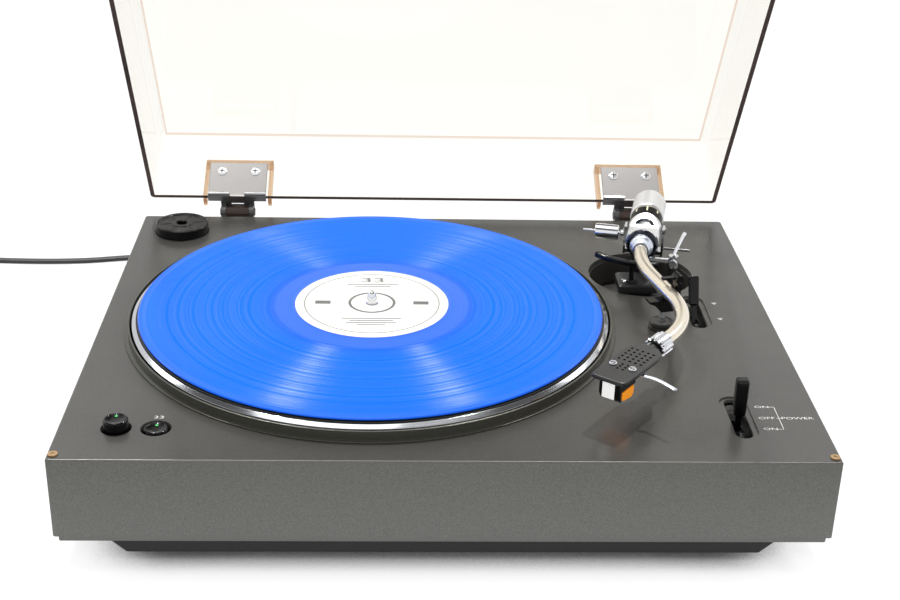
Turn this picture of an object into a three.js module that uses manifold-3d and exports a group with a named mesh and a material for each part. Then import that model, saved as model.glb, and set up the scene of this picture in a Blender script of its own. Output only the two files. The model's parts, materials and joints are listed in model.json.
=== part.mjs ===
// Belt drive turntable with a hinged clear lid, a record on the platter and a parked S shaped tonearm.
// Millimetres, +Z up, +X to the right, the front faces -Y. The origin is the middle of the footprint.
import * as THREE from 'three';
import { mergeVertices } from 'three/addons/utils/BufferGeometryUtils.js';
import Module from 'manifold-3d';

// Facets of round work and general clearances
const bigSides = 52;
const roundSides = 26;
const smallSides = 16;
const pinSides = 10;
const seatGap = 0.3;
const restGap = 0.1;
const overrun = 4;
const holeSides = 6;
const weld = 1e-5;

// Plinth, laid out round the platter well and measured from its front face and its top
const marginLeft = 17.6;
const marginFront = 20.1;
const marginRear = 16.1;
const armSideWidth = 107.8;
const plinthHeight = 50;
const plinthWall = 8.5;
const plinthTopThickness = 3.2;
const plinthBevel = 1;
const plinthCornerRadius = 1.6;
const lipHeight = 4.4;
const lipInset = 2.4;

// Base pan under the plinth
const panInset = 26.4;
const panFrontSetback = 8;
const panRearSetback = 8;
const panHeight = 11.2;
const panEndSlope = 10.5;
const panEndUpright = 1.5;
const panCorner = 3;
const panRailSetback = 28;
const panWall = 2.5;
const panFlange = 4;
const panRailWidth = 21.5;
const panFlangeThickness = 1.5;

// Feet
const footRadius = 19;
const footHeight = 8.5;
const footTaper = 2.5;
const footInsetX = 62;
const footFrontInset = 50;
const footRearInset = 44;
const footRecessRadius = 6;
const footRecessDepth = 2;

// Platter well
const wellClearance = 2.9;
const wellFloorDepth = 22;
const wellWall = 3;

// Collar round the platter
const collarWallThickness = 1.3;
const collarHeight = 6.8;
const collarFlangeWidth = 2.4;
const collarFlangeThickness = 0.9;
const collarSpigotDepth = 7;

// Platter, mat and record
const platterTop = 8.3;
const platterChamferWidth = 2.6;
const platterChamferHeight = 1.7;
const platterDepth = 20;
const platterRim = 4;
const platterDeckThickness = 3;
const matRecess = 2.2;
const matGap = 0.3;
const matThickness = 3;
const beltRoom = 50.4;
const beltRingThickness = 3.5;
const hubRadius = 15;
const hubDepth = 8;
const recordRadius = 150.5;
const recordLedge = 3.9;
const recordThickness = 1.5;
const recordEdge = 0.5;
const recordHoleRadius = 3.9;
const labelRadius = 50;
const labelThickness = 0.2;

// Spindle and bearing
const spindleRadius = 3.5;
const spindleTop = 20;
const spindleTipRadius = 1.6;
const spindleTaper = 6;
const spindleBottom = 44;
const bearingSleeveRadius = 8;
const bearingFlangeRadius = 22;
const bearingFlangeThickness = 3;
const bearingTop = 9;
const bearingFloor = 3;

// Motor, pulley and belt
const motorStandoff = 26;
const motorBearing = 127;
const motorRadius = 28;
const motorRoom = 1.1;
const motorPlateMargin = 9;
const motorPlateThickness = 2;
const motorCornerRadius = 8;
const motorHoleRadius = 14;
const motorBossRadius = 8;
const motorBossHeight = 2;
const motorShaftRadius = 1.5;
const pulleyRadius = 7.5;
const pulleyCrown = 0.5;
const pulleyFlange = 1.6;
const pulleyFlangeThickness = 1;
const pulleyHeight = 12;
const pulleyMiddle = 6;
const beltWidth = 5;
const beltThickness = 0.8;

// Speed buttons and the rocker that joins them
const buttonInset = 33;
const buttonSpacing = 22.4;
const buttonY = 34.4;
const buttonRadius = 7.15;
const buttonHoleGap = 1.65;
const buttonRaised = 6.3;
const buttonTravel = 5.8;
const buttonCapHeight = 11;
const buttonCapBevel = 0.7;
const buttonCapDish = 0.4;
const buttonDishRadius = 5.4;
const buttonStemRadius = 2;
const buttonLength = 26;
const rockerThickness = 2;
const rockerWidth = 7;
const rockerOverhang = 2.5;
const rockerHubRadius = 3;
const rockerPinRadius = 1.2;
const rockerClearance = 0.9;
const switchDepth = 18;
const switchHeight = 9;
const switchEar = 2;
const switchPost = 4;
const switchDrop = 38;

// Levers of the power switch and of the cueing device
const slotInset = 48.8;
const slotWidth = 10.4;
const slotLength = 45;
const slotStepWidth = 3.2;
const slotStepEnd = 2;
const slotStepDepth = 1.1;
const powerSlotY = 50.5;
const cueSlotForward = 79.4;
const leverPivotDepth = 13;
const powerPaddleWidth = 7.3;
const powerPaddleHeight = 24;
const powerPaddleThickness = 6;
const powerPaddleTop = 25.4;
const powerPaddleBevel = 1.3;
const cuePaddleWidth = 6.6;
const cuePaddleHeight = 20;
const cuePaddleThickness = 4.6;
const cuePaddleTop = 22.8;
const cueLean = 24;
const stemWidth = 3.4;
const stemThickness = 2.6;
const leverHubRadius = 4.4;
const leverPinRadius = 1.8;
const leverHubWidth = 6;
const leverTail = 9;
const bracketEar = 1.8;
const bracketEarDepth = 14;
const troughWall = 2;
const troughSetback = 0.4;
const troughEnd = 2;
const troughFloor = 6;
const troughFloorThickness = 1.2;
const troughFloorRadius = 74;
const troughSlitWidth = 4.6;
const troughSlitLength = 14;
const bracketBoxHeight = 12;
const bracketBoxLength = 34;
const bracketDrop = 27;

// Rubber spacers on the front corners
const bumperInset = 3.6;
const bumperY = 5.6;
const bumperRadius = 2.8;
const bumperHeight = 0.9;
const bumperHoleRadius = 1;
const bumperHoleDepth = 0.5;

// Single adapter and its shallow seat
const adapterMarginX = 12.5;
const adapterMarginY = 9.6;
const adapterRadius = 19.2;
const adapterHeight = 8.2;
const adapterSeatDepth = 1.8;
const adapterSeatGap = 0.5;
const adapterHoleRadius = 3.9;
const adapterDishRadius = 15.5;
const adapterDishDepth = 1.2;
const adapterHubRadius = 8;
const adapterSpokes = 6;
const adapterSpokeWidth = 1.4;

// Tonearm, in its own axes: forward from the pivot, sideways away from the record
const pivotInset = 72.9;
const pivotBehindSpindle = 93;
const parkAngle = 12.8;
const tubeRadius = 4.6;
const tubeSides = 12;
const tubeSteps = 28;
const firstBendAt = 58.7;
const firstBendAngle = 27.1;
const bendSpacing = 79.9;
const headOffsetAngle = 24.5;
const firstBendRadius = 95;
const secondBendRadius = 70;
const headReach = 44.1;

// Arm well, base and pillar
const armWellShift = 4.1;
const armWellForward = 19.4;
const armWellRadius = 36.5;
const armWellDepth = 24;
const armWellWall = 2;
const armWellFlange = 2.8;
const armWellFlangeThickness = 2;
const armBaseThickness = 4;
const armBaseInset = 1.2;
const pillarRadius = 8.5;
const pillarTop = 9;
const pillarBoreRadius = 4.3;
const pillarBoreDepth = 16;
const blockShift = 23.7;
const blockWidth = 26.6;
const blockForward = 51.8;
const blockDepth = 23.4;
const blockTop = 6;
const blockBevel = 1.2;
const blockStep = 3;
const lifterRadius = 47;
const lifterAngle = 5.5;
const lifterCollarRadius = 4;
const lifterCollarHeight = 1.6;

// Lift bar
const liftBarLow = -16;
const liftBarHigh = 40;
const liftBarGap = 0.4;
const liftBarHeight = 4.2;
const liftBarThickness = 4;
const liftBarSteps = 16;
const lifterShaftRadius = 1.6;
const lifterStroke = 1.43;

// Swivelling yoke of the bearings
const yokeSpindleRadius = 4;
const yokeSpindleDepth = 14;
const yokeBaseThickness = 2.6;
const yokeBaseWidth = 9;
const yokeGap = 0.9;
const yokeClearance = 2.9;
const yokeUprightThickness = 1.6;
const yokeUprightDepth = 9.2;
const yokeUprightForward = 2.6;
const yokeUprightTop = 3.4;
const pivotScrewRadius = 1.5;
const pivotScrewHead = 2.3;
const pivotScrewHeadLength = 1;

// Bearing housing on the tube, bell, dial and counterweight
const housingRadius = 11.6;
const housingRear = -2.5;
const housingLength = 28.7;
const housingRoof = 1;
const housingSlope = 22;
const tubeSeat = 8;
const windowRadius = 7.1;
const windowDepth = 2.6;
const windowFrom = 5.5;
const bellRadius = 10.8;
const bellRing = 3.4;
const bellNose = 8.8;
const bellNoseRadius = 8.2;
const bellLip = 1.4;
const bellStep = 1.8;
const dialRadius = 11.7;
const dialLength = 15.2;
const dialBevel = 0.8;
const dialBoreRadius = 4.4;
const weightRadius = 12.1;
const weightLength = 29.5;
const weightGap = 0.5;
const weightBevel = 0.8;
const weightDish = 2;
const weightDishRadius = 9.2;
const stubRadius = 4;
const stubOverhang = 2;

// Side balance
const sideRodRadius = 0.9;
const sideRodLength = 43.5;
const sideRodForward = 4;
const sideRodDrop = 2.8;
const sideNutRadius = 2.2;
const sideNutLength = 2.4;
const sideWeightRadius = 5.3;
const sideWeightLength = 17;
const sideWeightFrom = 17.8;
const sideWeightFaceRadius = 4.5;

// Bias device
const biasRodRadius = 1;
const biasRodLength = 33;
const biasRodForward = 6;
const biasRodHeight = 15.5;
const biasArmHeight = 18;
const biasArmReach = 22.6;
const biasArmAhead = 2.8;
const biasBarLength = 16.2;
const biasArmRadius = 1.7;
const biasClampRadius = 3.4;
const biasClampHeight = 8.4;
const biasPostRadius = 1.3;
const biasPostHeight = 17;
const biasPostTilt = 24;
const biasScrewRadius = 2.6;
const biasScrewLength = 2.2;
const biasStandRadius = 3;

// Arm rest
const restAlong = 43.141;
const restSetback = 1.81;
const restBaseRadius = 8.4;
const restBaseHeight = 5.4;
const restBaseGroove = 0.9;
const restPostRadius = 2;
const restBlockHeight = 8.1;
const restBlockWidth = 10.4;
const restBlockDepth = 7.6;
const restBlockChamfer = 2.6;
const restWingReach = 6;
const restWingThickness = 2.6;
const restUprightThickness = 2.6;
const restTubeGap = 0.6;
const restUprightGap = 2;
const clipHinge = 2.6;
const clipWidth = 3;
const clipThickness = 1.5;
const clipReach = 11;
const clipTubeRise = 3.8;

// Locking collar, headshell and cartridge
const lockRadius = 7;
const lockLength = 13;
const lockRear = -9;
const lockFlutes = 14;
const lockFluteDepth = 0.7;
const lockBoreGap = 0.4;
const shellRear = 8.4;
const shellFront = 60;
const shellHalfWidth = 11.7;
const shellRearHalfWidth = 6.6;
const shellShoulder = 19;
const shellTop = 4.3;
const shellThickness = 3;
const shellRearThickness = 8.6;
const shellThickEnd = 24;
const shellFrontCorner = 1.6;
const shellPlugRadius = 4;
const shellPlugLength = 6;
const shellHoleRadius = 0.65;
const shellHolePitch = 4;
const shellHoleColumns = 5;
const shellHoleRows = 5;
const shellSlotSpacing = 12.7;
const shellSlotAt = 42;
const shellSlotLength = 6;
const shellSlotWidth = 2.8;
const fingerAt = 37.5;
const fingerWidth = 2.6;
const fingerThickness = 1.3;
const fingerReach = 21;
const fingerSweep = 0.8;
const fingerDrop = 0.9;
const fingerSteps = 12;
const cartridgeWidth = 13.6;
const cartridgeRear = 37.5;
const cartridgeFront = 56;
const cartridgeHeight = 13;
const cartridgeNose = 2.4;
const stylusRear = 39.5;
const stylusFront = 53;
const stylusWidth = 14.4;
const stylusRise = 6;
const stylusWall = 1;
const stylusNose = 2;
const cantileverRadius = 0.35;
const stylusTipAt = 49.5;
const stylusClearance = 1.2;

// Lid and its hinges
const lidSideInset = 2.7;
const lidFrontInset = 2.35;
const lidHeight = 62;
const lidWall = 3;
const lidDraft = 3;
const lidCorner = 7;
const lidTopRound = 3.5;
const lidOpenAngle = 60;
const hingeStandoff = 13;
const hingeDrop = 1.5;
const lidRearOffset = 9.85;
const lidRimRise = 5.35;
const hingeInset = 68.4;
const pocketWidth = 52;
const pocketHeight = 33.5;
const pocketProng = 1.8;
const pocketDepth = 7;
const pocketWall = 2.8;
const pocketRoot = 2.4;
const leafWidth = 44;
const leafHeight = 30;
const leafThickness = 1.2;
const leafRollGap = 0.4;
const leafTongueWidth = 25.4;
const leafNotchWidth = 9.6;
const earThickness = 3.6;
const earRadius = 5.6;
const hingePinRadius = 1.9;
const hingePinHead = 0.9;
const hingePinHeadRadius = 3;
const barrelRadius = 4.8;
const barrelWidth = 17;
const bracketPlateWidth = 40;
const bracketPlateHeight = 28;
const bracketPlateThickness = 2;
const bracketPlateTop = 6.5;
const bracketWebHeight = 5;

// Mains lead, its strain relief and plug
const cordWidth = 5.6;
const cordThickness = 2.8;
const cordSides = 6;
const cordSteps = 42;
const glandInset = 102;
const glandRise = 6.8;
const glandRadius = 5;
const glandTipRadius = 4.2;
const glandLength = 24;
const glandFlangeRadius = 7;
const glandFlangeThickness = 2;
const glandRings = 4;
const leadFall = [[0, 0, 0], [0, 10, 0.3], [0.6, 20, 2.4], [3, 31, 7.4]];
const leadLanding = [
  [8.5, 42, 10.6], [18, 52, 4.4], [32, 60.5, 1.1], [50, 65.6, 0], [74, 67, 0], [105, 64, 0],
];
const leadAlong = [[-252, 435.6], [-286, 429], [-320, 426.8], [-356, 427.8], [-386, 430.8]];
const coilX = -414;
const coilY = 388.1;
const coilOuter = 44.3;
const coilPitch = 6.3;
const coilInTurns = 3.35;
const coilClimbTurns = 0.3;
const coilOutTurns = 2.6;
const coilLayerRise = 3.4;
const coilStepsPerTurn = 20;
const coilSides = 6;
const coilJoinGap = 0.8;
const coilTail = 34;
const coilTailSteps = 4;
const plugLength = 34;
const plugWidth = 13.6;
const plugThickness = 9.6;
const plugNeck = 6.4;
const plugNeckThin = 4.6;
const plugNeckWide = 8.4;
const plugNeckLength = 9;
const plugPinRadius = 2;
const plugPinLength = 19;
const plugPinSpacing = 18.6;

// Worked out from the sizes above
const radians = THREE.MathUtils.degToRad;
const fullTurn = Math.PI * 2;
const quarterTurn = Math.PI / 2;
const plinthTop = plinthHeight + lipHeight + panHeight + footHeight;
const platterRadius = recordRadius + recordLedge;
const wellRadius = platterRadius + wellClearance;
const plinthWidth = marginLeft + 2 * wellRadius + armSideWidth;
const plinthDepth = marginFront + 2 * wellRadius + marginRear;
const leftX = -plinthWidth / 2;
const rightX = plinthWidth / 2;
const spindleX = leftX + marginLeft + wellRadius;
const spindleY = marginFront + wellRadius;
const collarInner = wellRadius - seatGap - collarWallThickness;
const matTop = platterTop - matRecess + restGap + matThickness;
const recordTop = matTop + restGap + recordThickness;
const matRadius = platterRadius - platterChamferWidth - matGap - matGap;
const beltRingRadius = platterRadius - platterRim - beltRoom;
const motorReach = beltRingRadius + motorStandoff;
const motorSpace = plinthHeight + lipHeight - wellFloorDepth - wellWall - seatGap - motorRoom;
const motorHeight = motorSpace - motorPlateThickness;
const motorPlateSide = 2 * (motorRadius + motorPlateMargin);
const motorX = spindleX + motorReach * Math.cos(radians(motorBearing));
const motorY = spindleY + motorReach * Math.sin(radians(motorBearing));
const buttonLeftX = leftX + buttonInset;
const buttonRightX = buttonLeftX + buttonSpacing;
const buttonHoleRadius = buttonRadius + buttonHoleGap;
const switchWidth = buttonSpacing + 2 * (buttonHoleRadius + switchPost);
const bumperX = rightX - bumperInset;
const adapterX = leftX + adapterRadius + adapterMarginX;
const adapterY = plinthDepth - adapterRadius - adapterMarginY;
const pivotX = rightX - pivotInset;
const pivotY = spindleY + pivotBehindSpindle;
const slotX = rightX - slotInset;
const cueSlotY = pivotY - cueSlotForward;
const armWellX = pivotX - armWellShift;
const armWellY = pivotY - armWellForward;
const housingFront = housingRear + housingLength;
const bellFace = housingFront + seatGap + bellRing;
const biasArmForward = bellFace + biasArmAhead;
const yokeInner = housingRadius + yokeGap;
const armHeight = pillarTop + seatGap + yokeBaseThickness + yokeClearance + housingRadius;
const tubeTop = armHeight + tubeRadius;
const liftBarTop = armHeight - tubeRadius - liftBarGap;
const secondBendAt = firstBendAt + bendSpacing;
const headCentreAt = secondBendAt + headReach;
const secondBendOut = bendSpacing * Math.tan(radians(firstBendAngle));
const headOut = secondBendOut - headReach * Math.tan(radians(headOffsetAngle));
const restPostTop = armHeight - tubeRadius - restTubeGap - restBlockHeight - seatGap;
const hingeX = rightX - hingeInset;
const hingeY = plinthDepth + hingeStandoff;
const lidWidth = plinthWidth - 2 * lidSideInset;
const lidDepth = hingeY - lidRearOffset - lidFrontInset;
const glandX = leftX + glandInset;
const glandZ = -plinthHeight - lipHeight + glandRise;

const materials = makeMaterials();
const wasm = await Module();
wasm.setup();

// Materials by name
function makeMaterials() {
  const finish = (color, roughness, metalness) => new THREE.MeshStandardMaterial({ color, roughness, metalness });
  return {
    plinthPaint: () => finish(0x5b5b58, 0.45, 0.3),
    darkPlastic: () => finish(0x1b1b1c, 0.45, 0),
    panSteel: () => finish(0x3c3c3e, 0.5, 0.3),
    rubber: () => finish(0x161616, 0.85, 0),
    castAluminium: () => finish(0xc4c6c8, 0.3, 0.95),
    chrome: () => finish(0xd8dade, 0.1, 1),
    satinSilver: () => finish(0xc9c9c6, 0.35, 0.9),
    champagneTube: () => finish(0xcfc4b2, 0.22, 0.9),
    glossBlack: () => finish(0x0c0c0d, 0.2, 0),
    blueVinyl: () => finish(0x1e7dff, 0.25, 0),
    creamPaper: () => finish(0xe9e6da, 0.7, 0),
    hingeSteel: () => finish(0x6f6663, 0.4, 0.6),
    leafSteel: () => finish(0x9c9a98, 0.3, 0.8),
    tanRubber: () => finish(0x9a7b45, 0.6, 0.1),
    brass: () => finish(0xb89a55, 0.3, 0.9),
    orangePlastic: () => finish(0xf08a12, 0.4, 0),
    clearTint: () => new THREE.MeshStandardMaterial({
      color: 0xe8ddd2, roughness: 0.05, metalness: 0, transparent: true, opacity: 0.3,
    }),
    greyCord: () => finish(0x3a3a3c, 0.6, 0),
  };
}

// Geometry with positions only, shared vertices, no flat triangles, and its faces pointing outwards
function closedForm(geometry) {
  const loose = geometry.index ? geometry.toNonIndexed() : geometry.clone();
  loose.deleteAttribute('normal');
  loose.deleteAttribute('uv');
  const merged = mergeVertices(loose, weld);
  const kept = [];
  const index = merged.index.array;
  for (let i = 0; i < index.length; i += 3) {
    const [a, b, c] = [index[i], index[i + 1], index[i + 2]];
    if (a !== b && b !== c && c !== a) kept.push(a, b, c);
  }
  merged.setIndex(kept);
  if (signedVolume(merged) < 0) merged.setIndex(kept.reverse());
  merged.computeVertexNormals();
  return merged;
}

// Volume with a sign that tells which way the faces point
function signedVolume(geometry) {
  const [p, index] = [geometry.attributes.position, geometry.index.array];
  const [a, b, c] = [new THREE.Vector3(), new THREE.Vector3(), new THREE.Vector3()];
  let sum = 0;
  for (let i = 0; i < index.length; i += 3) {
    a.fromBufferAttribute(p, index[i]);
    b.fromBufferAttribute(p, index[i + 1]);
    c.fromBufferAttribute(p, index[i + 2]);
    sum += a.dot(b.cross(c)) / 6;
  }
  return sum;
}

function solidOf(geometry) {
  const form = closedForm(geometry);
  return new wasm.Manifold(new wasm.Mesh({
    numProp: 3,
    vertProperties: new Float32Array(form.attributes.position.array),
    triVerts: new Uint32Array(form.index.array),
  }));
}

function geometryOf(solid) {
  const mesh = solid.getMesh();
  const geometry = new THREE.BufferGeometry();
  geometry.setAttribute('position', new THREE.BufferAttribute(mesh.vertProperties, 3));
  geometry.setIndex(new THREE.BufferAttribute(mesh.triVerts, 1));
  geometry.computeVertexNormals();
  return geometry;
}

function join(...parts) {
  return geometryOf(parts.map(solidOf).reduce((whole, part) => whole.add(part)));
}

function cut(body, ...tools) {
  return geometryOf(tools.map(solidOf).reduce((rest, tool) => rest.subtract(tool), solidOf(body)));
}

function common(body, tool) {
  return geometryOf(solidOf(body).intersect(solidOf(tool)));
}

// Box standing on height z, centred on x and y
function box(width, depth, height, x, y, z) {
  return new THREE.BoxGeometry(width, depth, height).translate(x, y, z + height / 2);
}

// Upright round bar standing on height z
function rod(radius, height, x, y, z, sides = smallSides) {
  const bar = new THREE.CylinderGeometry(radius, radius, height, sides);
  return bar.rotateX(quarterTurn).translate(x, y, z + height / 2);
}

// Bar along X from x, centred on y and z
function barX(radius, length, x, y, z, sides = smallSides) {
  const bar = new THREE.CylinderGeometry(radius, radius, length, sides);
  return bar.rotateZ(-quarterTurn).translate(x + length / 2, y, z);
}

// Solid of revolution about Z from a profile of [radius, height] points
function turned(profile, sides = roundSides) {
  const points = profile.map(([radius, height]) => new THREE.Vector2(radius, height));
  return new THREE.LatheGeometry(points, sides).rotateX(quarterTurn);
}

// Ring of revolution: the profile closes on itself
function turnedRing(profile, sides = roundSides) {
  return turned([...profile, profile[0]], sides);
}

function extruded(points, depth) {
  return new THREE.ExtrudeGeometry(new THREE.Shape(points), { depth, bevelEnabled: false });
}

// Outline pushed straight up from height z
function prism(points, height, z) {
  return extruded(points, height).translate(0, 0, z);
}

function roundedRectangle(width, depth, radius, x = 0, y = 0, steps = 3) {
  const points = [];
  const corners = [[1, 1, 0], [-1, 1, 1], [-1, -1, 2], [1, -1, 3]];
  for (const [sideX, sideY, quarter] of corners) {
    for (let i = 0; i <= steps; i += 1) {
      const angle = (quarter + i / steps) * quarterTurn;
      points.push(new THREE.Vector2(
        x + sideX * (width / 2 - radius) + radius * Math.cos(angle),
        y + sideY * (depth / 2 - radius) + radius * Math.sin(angle),
      ));
    }
  }
  return points;
}

// Skin over stacked outlines with the same number of points
function loft(stack) {
  const reversed = THREE.ShapeUtils.isClockWise(stack[0].outline);
  const sections = stack.map(({ outline, z }) => ({ outline: reversed ? [...outline].reverse() : outline, z }));
  const count = sections[0].outline.length;
  const positions = [];
  const push = (section, i) => {
    const point = section.outline[i % count];
    positions.push(point.x, point.y, section.z);
  };
  for (let s = 0; s + 1 < sections.length; s += 1) {
    for (let i = 0; i < count; i += 1) {
      push(sections[s], i);
      push(sections[s], i + 1);
      push(sections[s + 1], i);
      push(sections[s], i + 1);
      push(sections[s + 1], i + 1);
      push(sections[s + 1], i);
    }
  }
  const last = sections[sections.length - 1];
  for (const [a, b, c] of THREE.ShapeUtils.triangulateShape(sections[0].outline, [])) {
    push(sections[0], c);
    push(sections[0], b);
    push(sections[0], a);
  }
  for (const [a, b, c] of THREE.ShapeUtils.triangulateShape(last.outline, [])) {
    push(last, a);
    push(last, b);
    push(last, c);
  }
  const geometry = new THREE.BufferGeometry();
  geometry.setAttribute('position', new THREE.Float32BufferAttribute(positions, 3));
  return geometry;
}

// Section swept along a curve
function sweep(curve, outline, steps) {
  return new THREE.ExtrudeGeometry(new THREE.Shape(outline), {
    steps, extrudePath: curve, bevelEnabled: false,
  });
}

function circle(radius, sides) {
  const points = [];
  for (let i = 0; i < sides; i += 1) {
    const angle = (i / sides) * fullTurn;
    points.push(new THREE.Vector2(radius * Math.cos(angle), radius * Math.sin(angle)));
  }
  return points;
}

function named(name, geometry, material, x = 0, y = 0, z = 0) {
  const mesh = new THREE.Mesh(closedForm(geometry), material());
  mesh.name = name;
  mesh.position.set(x, y, z);
  return mesh;
}

// Long hole with round ends along Y
function slotPrism(width, length, depth, x, y, z) {
  return prism(roundedRectangle(width, length, width / 2, x, y, 6), depth, z);
}

// Plinth: a moulded box, open below, with the platter well hanging from its top
function plinthShell() {
  const middleY = plinthDepth / 2;
  const outline = (inset) => roundedRectangle(
    plinthWidth - 2 * inset, plinthDepth - 2 * inset, plinthCornerRadius, 0, middleY,
  );
  const body = loft([
    { outline: outline(lipInset), z: -plinthHeight - lipHeight },
    { outline: outline(lipInset), z: -plinthHeight },
    { outline: outline(0), z: -plinthHeight },
    { outline: outline(0), z: -plinthBevel },
    { outline: outline(plinthBevel), z: 0 },
  ]);
  const inside = plinthHeight + lipHeight - plinthTopThickness;
  const cavity = cut(
    box(plinthWidth - 2 * plinthWall, plinthDepth - 2 * plinthWall, inside + overrun, 0, middleY,
      -plinthTopThickness - inside - overrun),
    rod(wellRadius + wellWall, wellFloorDepth + wellWall, spindleX, spindleY,
      -wellFloorDepth - wellWall, bigSides),
  );
  const well = rod(wellRadius, wellFloorDepth + overrun, spindleX, spindleY, -wellFloorDepth, bigSides);
  const drill = plinthTopThickness + overrun;
  const floorDrill = wellWall + overrun;
  const floorStart = -wellFloorDepth - wellWall - overrun / 2;
  const slots = [powerSlotY, cueSlotY].flatMap((y) => [
    slotPrism(slotWidth, slotLength, drill + overrun, slotX, y, -drill),
    slotPrism(slotWidth + 2 * slotStepWidth, slotLength + 2 * slotStepEnd, slotStepDepth + overrun,
      slotX, y, -slotStepDepth),
  ]);
  return cut(
    body, cavity, well,
    rod(bearingSleeveRadius + seatGap, floorDrill, spindleX, spindleY, floorStart),
    rod(motorHoleRadius, floorDrill, motorX, motorY, floorStart),
    rod(armWellRadius, drill + overrun, armWellX, armWellY, -drill, roundSides),
    rod(buttonHoleRadius, drill + overrun, buttonLeftX, buttonY, -drill, roundSides),
    rod(buttonHoleRadius, drill + overrun, buttonRightX, buttonY, -drill, roundSides),
    rod(adapterRadius + adapterSeatGap, adapterSeatDepth + overrun, adapterX, adapterY,
      -adapterSeatDepth, roundSides),
    rod(bumperRadius - bumperHoleRadius, plinthTopThickness, -bumperX, bumperY, -bumperHoleDepth * 2, pinSides),
    rod(bumperRadius - bumperHoleRadius, plinthTopThickness, bumperX, bumperY, -bumperHoleDepth * 2, pinSides),
    ...slots,
    rod(glandRadius + seatGap, plinthWall * 2, 0, 0, 0).rotateX(quarterTurn)
      .translate(glandX, plinthDepth + overrun, glandZ),
  );
}

// Collar that trims the edge of the platter well
function platterSurround() {
  const wall = collarInner + collarWallThickness;
  const flange = wall + collarFlangeWidth;
  return turnedRing([
    [collarInner, -collarSpigotDepth],
    [wall, -collarSpigotDepth],
    [wall, restGap],
    [flange, restGap],
    [flange, restGap + collarFlangeThickness],
    [wall, restGap + collarFlangeThickness],
    [wall, collarHeight],
    [collarInner, collarHeight],
  ], bigSides);
}

// Base pan: a shallow tray with upright long sides and sloping ends, screwed under the plinth
function basePan() {
  const width = plinthWidth - 2 * panInset;
  const depth = plinthDepth - panFrontSetback - panRearSetback;
  const middleY = panFrontSetback + depth / 2;
  const outline = (inset, wall) => roundedRectangle(
    width - 2 * inset - 2 * wall, depth - 2 * wall, panCorner, 0, middleY,
  );
  const top = -plinthHeight - lipHeight - restGap;
  const bottom = top - panHeight + restGap;
  const tray = loft([
    { outline: outline(panEndSlope, 0), z: bottom },
    { outline: outline(0, 0), z: top - panEndUpright },
    { outline: outline(0, 0), z: top },
  ]);
  const hollow = loft([
    { outline: outline(panEndSlope, panWall), z: bottom + panWall },
    { outline: outline(panEndUpright, panWall), z: top - panEndUpright },
    { outline: outline(panEndUpright, panWall), z: top + overrun },
  ]);
  const rails = [-1, 1].map((side) => box(
    panRailWidth + panFlange, depth - 2 * panRailSetback, panFlangeThickness,
    side * (width / 2 + (panRailWidth - panFlange) / 2), middleY, top - panFlangeThickness,
  ));
  return join(cut(tray, hollow), ...rails);
}

// Rubber foot with a screw recess below
function foot() {
  return turned([
    [0, footRecessDepth],
    [footRecessRadius, footRecessDepth],
    [footRecessRadius, 0],
    [footRadius - footTaper, 0],
    [footRadius, footTaper],
    [footRadius, footHeight - restGap],
    [0, footHeight - restGap],
  ], smallSides);
}

// Cast platter with a belt ring and a hub below its deck
function platter() {
  const chamferRadius = platterRadius - platterChamferWidth;
  const recessRadius = chamferRadius - matGap;
  const deckBelow = platterTop - matRecess - platterDeckThickness;
  const bottom = platterTop - platterDepth;
  const ringInner = beltRingRadius - beltRingThickness;
  return turnedRing([
    [spindleRadius + seatGap, platterTop - matRecess],
    [recessRadius, platterTop - matRecess],
    [recessRadius, platterTop],
    [chamferRadius, platterTop],
    [platterRadius, platterTop - platterChamferHeight],
    [platterRadius, bottom],
    [platterRadius - platterRim, bottom],
    [platterRadius - platterRim, deckBelow],
    [beltRingRadius, deckBelow],
    [beltRingRadius, bottom],
    [ringInner, bottom],
    [ringInner, deckBelow],
    [hubRadius, deckBelow],
    [hubRadius, deckBelow - hubDepth],
    [spindleRadius + seatGap, deckBelow - hubDepth],
  ], bigSides);
}

function platterMat() {
  const bottom = platterTop - matRecess + restGap;
  return turnedRing([
    [spindleRadius + seatGap, bottom],
    [matRadius, bottom],
    [matRadius, matTop],
    [spindleRadius + seatGap, matTop],
  ], bigSides);
}

// Pressed record with a thin rim
function recordDisc() {
  const bottom = matTop + restGap;
  const middle = bottom + recordThickness / 2;
  return turnedRing([
    [recordHoleRadius, bottom],
    [recordRadius - recordEdge, bottom],
    [recordRadius, middle],
    [recordRadius - recordEdge, recordTop],
    [recordHoleRadius, recordTop],
  ], bigSides);
}

function recordLabel() {
  const bottom = recordTop + restGap / 2;
  return turnedRing([
    [recordHoleRadius, bottom],
    [labelRadius, bottom],
    [labelRadius, bottom + labelThickness],
    [recordHoleRadius, bottom + labelThickness],
  ], roundSides);
}

function spindleShaft() {
  return turned([
    [0, -spindleBottom],
    [spindleRadius - seatGap, -spindleBottom + seatGap],
    [spindleRadius, -spindleBottom + 2 * seatGap],
    [spindleRadius, spindleTop - spindleTaper],
    [spindleTipRadius, spindleTop - seatGap],
    [0, spindleTop],
  ], smallSides);
}

// Bearing sleeve with a flange on the well floor and a closed thrust end
function bearingHousing() {
  const flangeBottom = -wellFloorDepth + restGap;
  const bore = spindleRadius + seatGap;
  const low = -spindleBottom - seatGap;
  return turned([
    [0, low - bearingFloor],
    [bearingSleeveRadius, low - bearingFloor],
    [bearingSleeveRadius, flangeBottom],
    [bearingFlangeRadius, flangeBottom],
    [bearingFlangeRadius, flangeBottom + bearingFlangeThickness],
    [bearingSleeveRadius, flangeBottom + bearingFlangeThickness],
    [bearingSleeveRadius, -bearingTop],
    [bore, -bearingTop],
    [bore, low],
    [0, low],
  ], smallSides);
}

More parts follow.
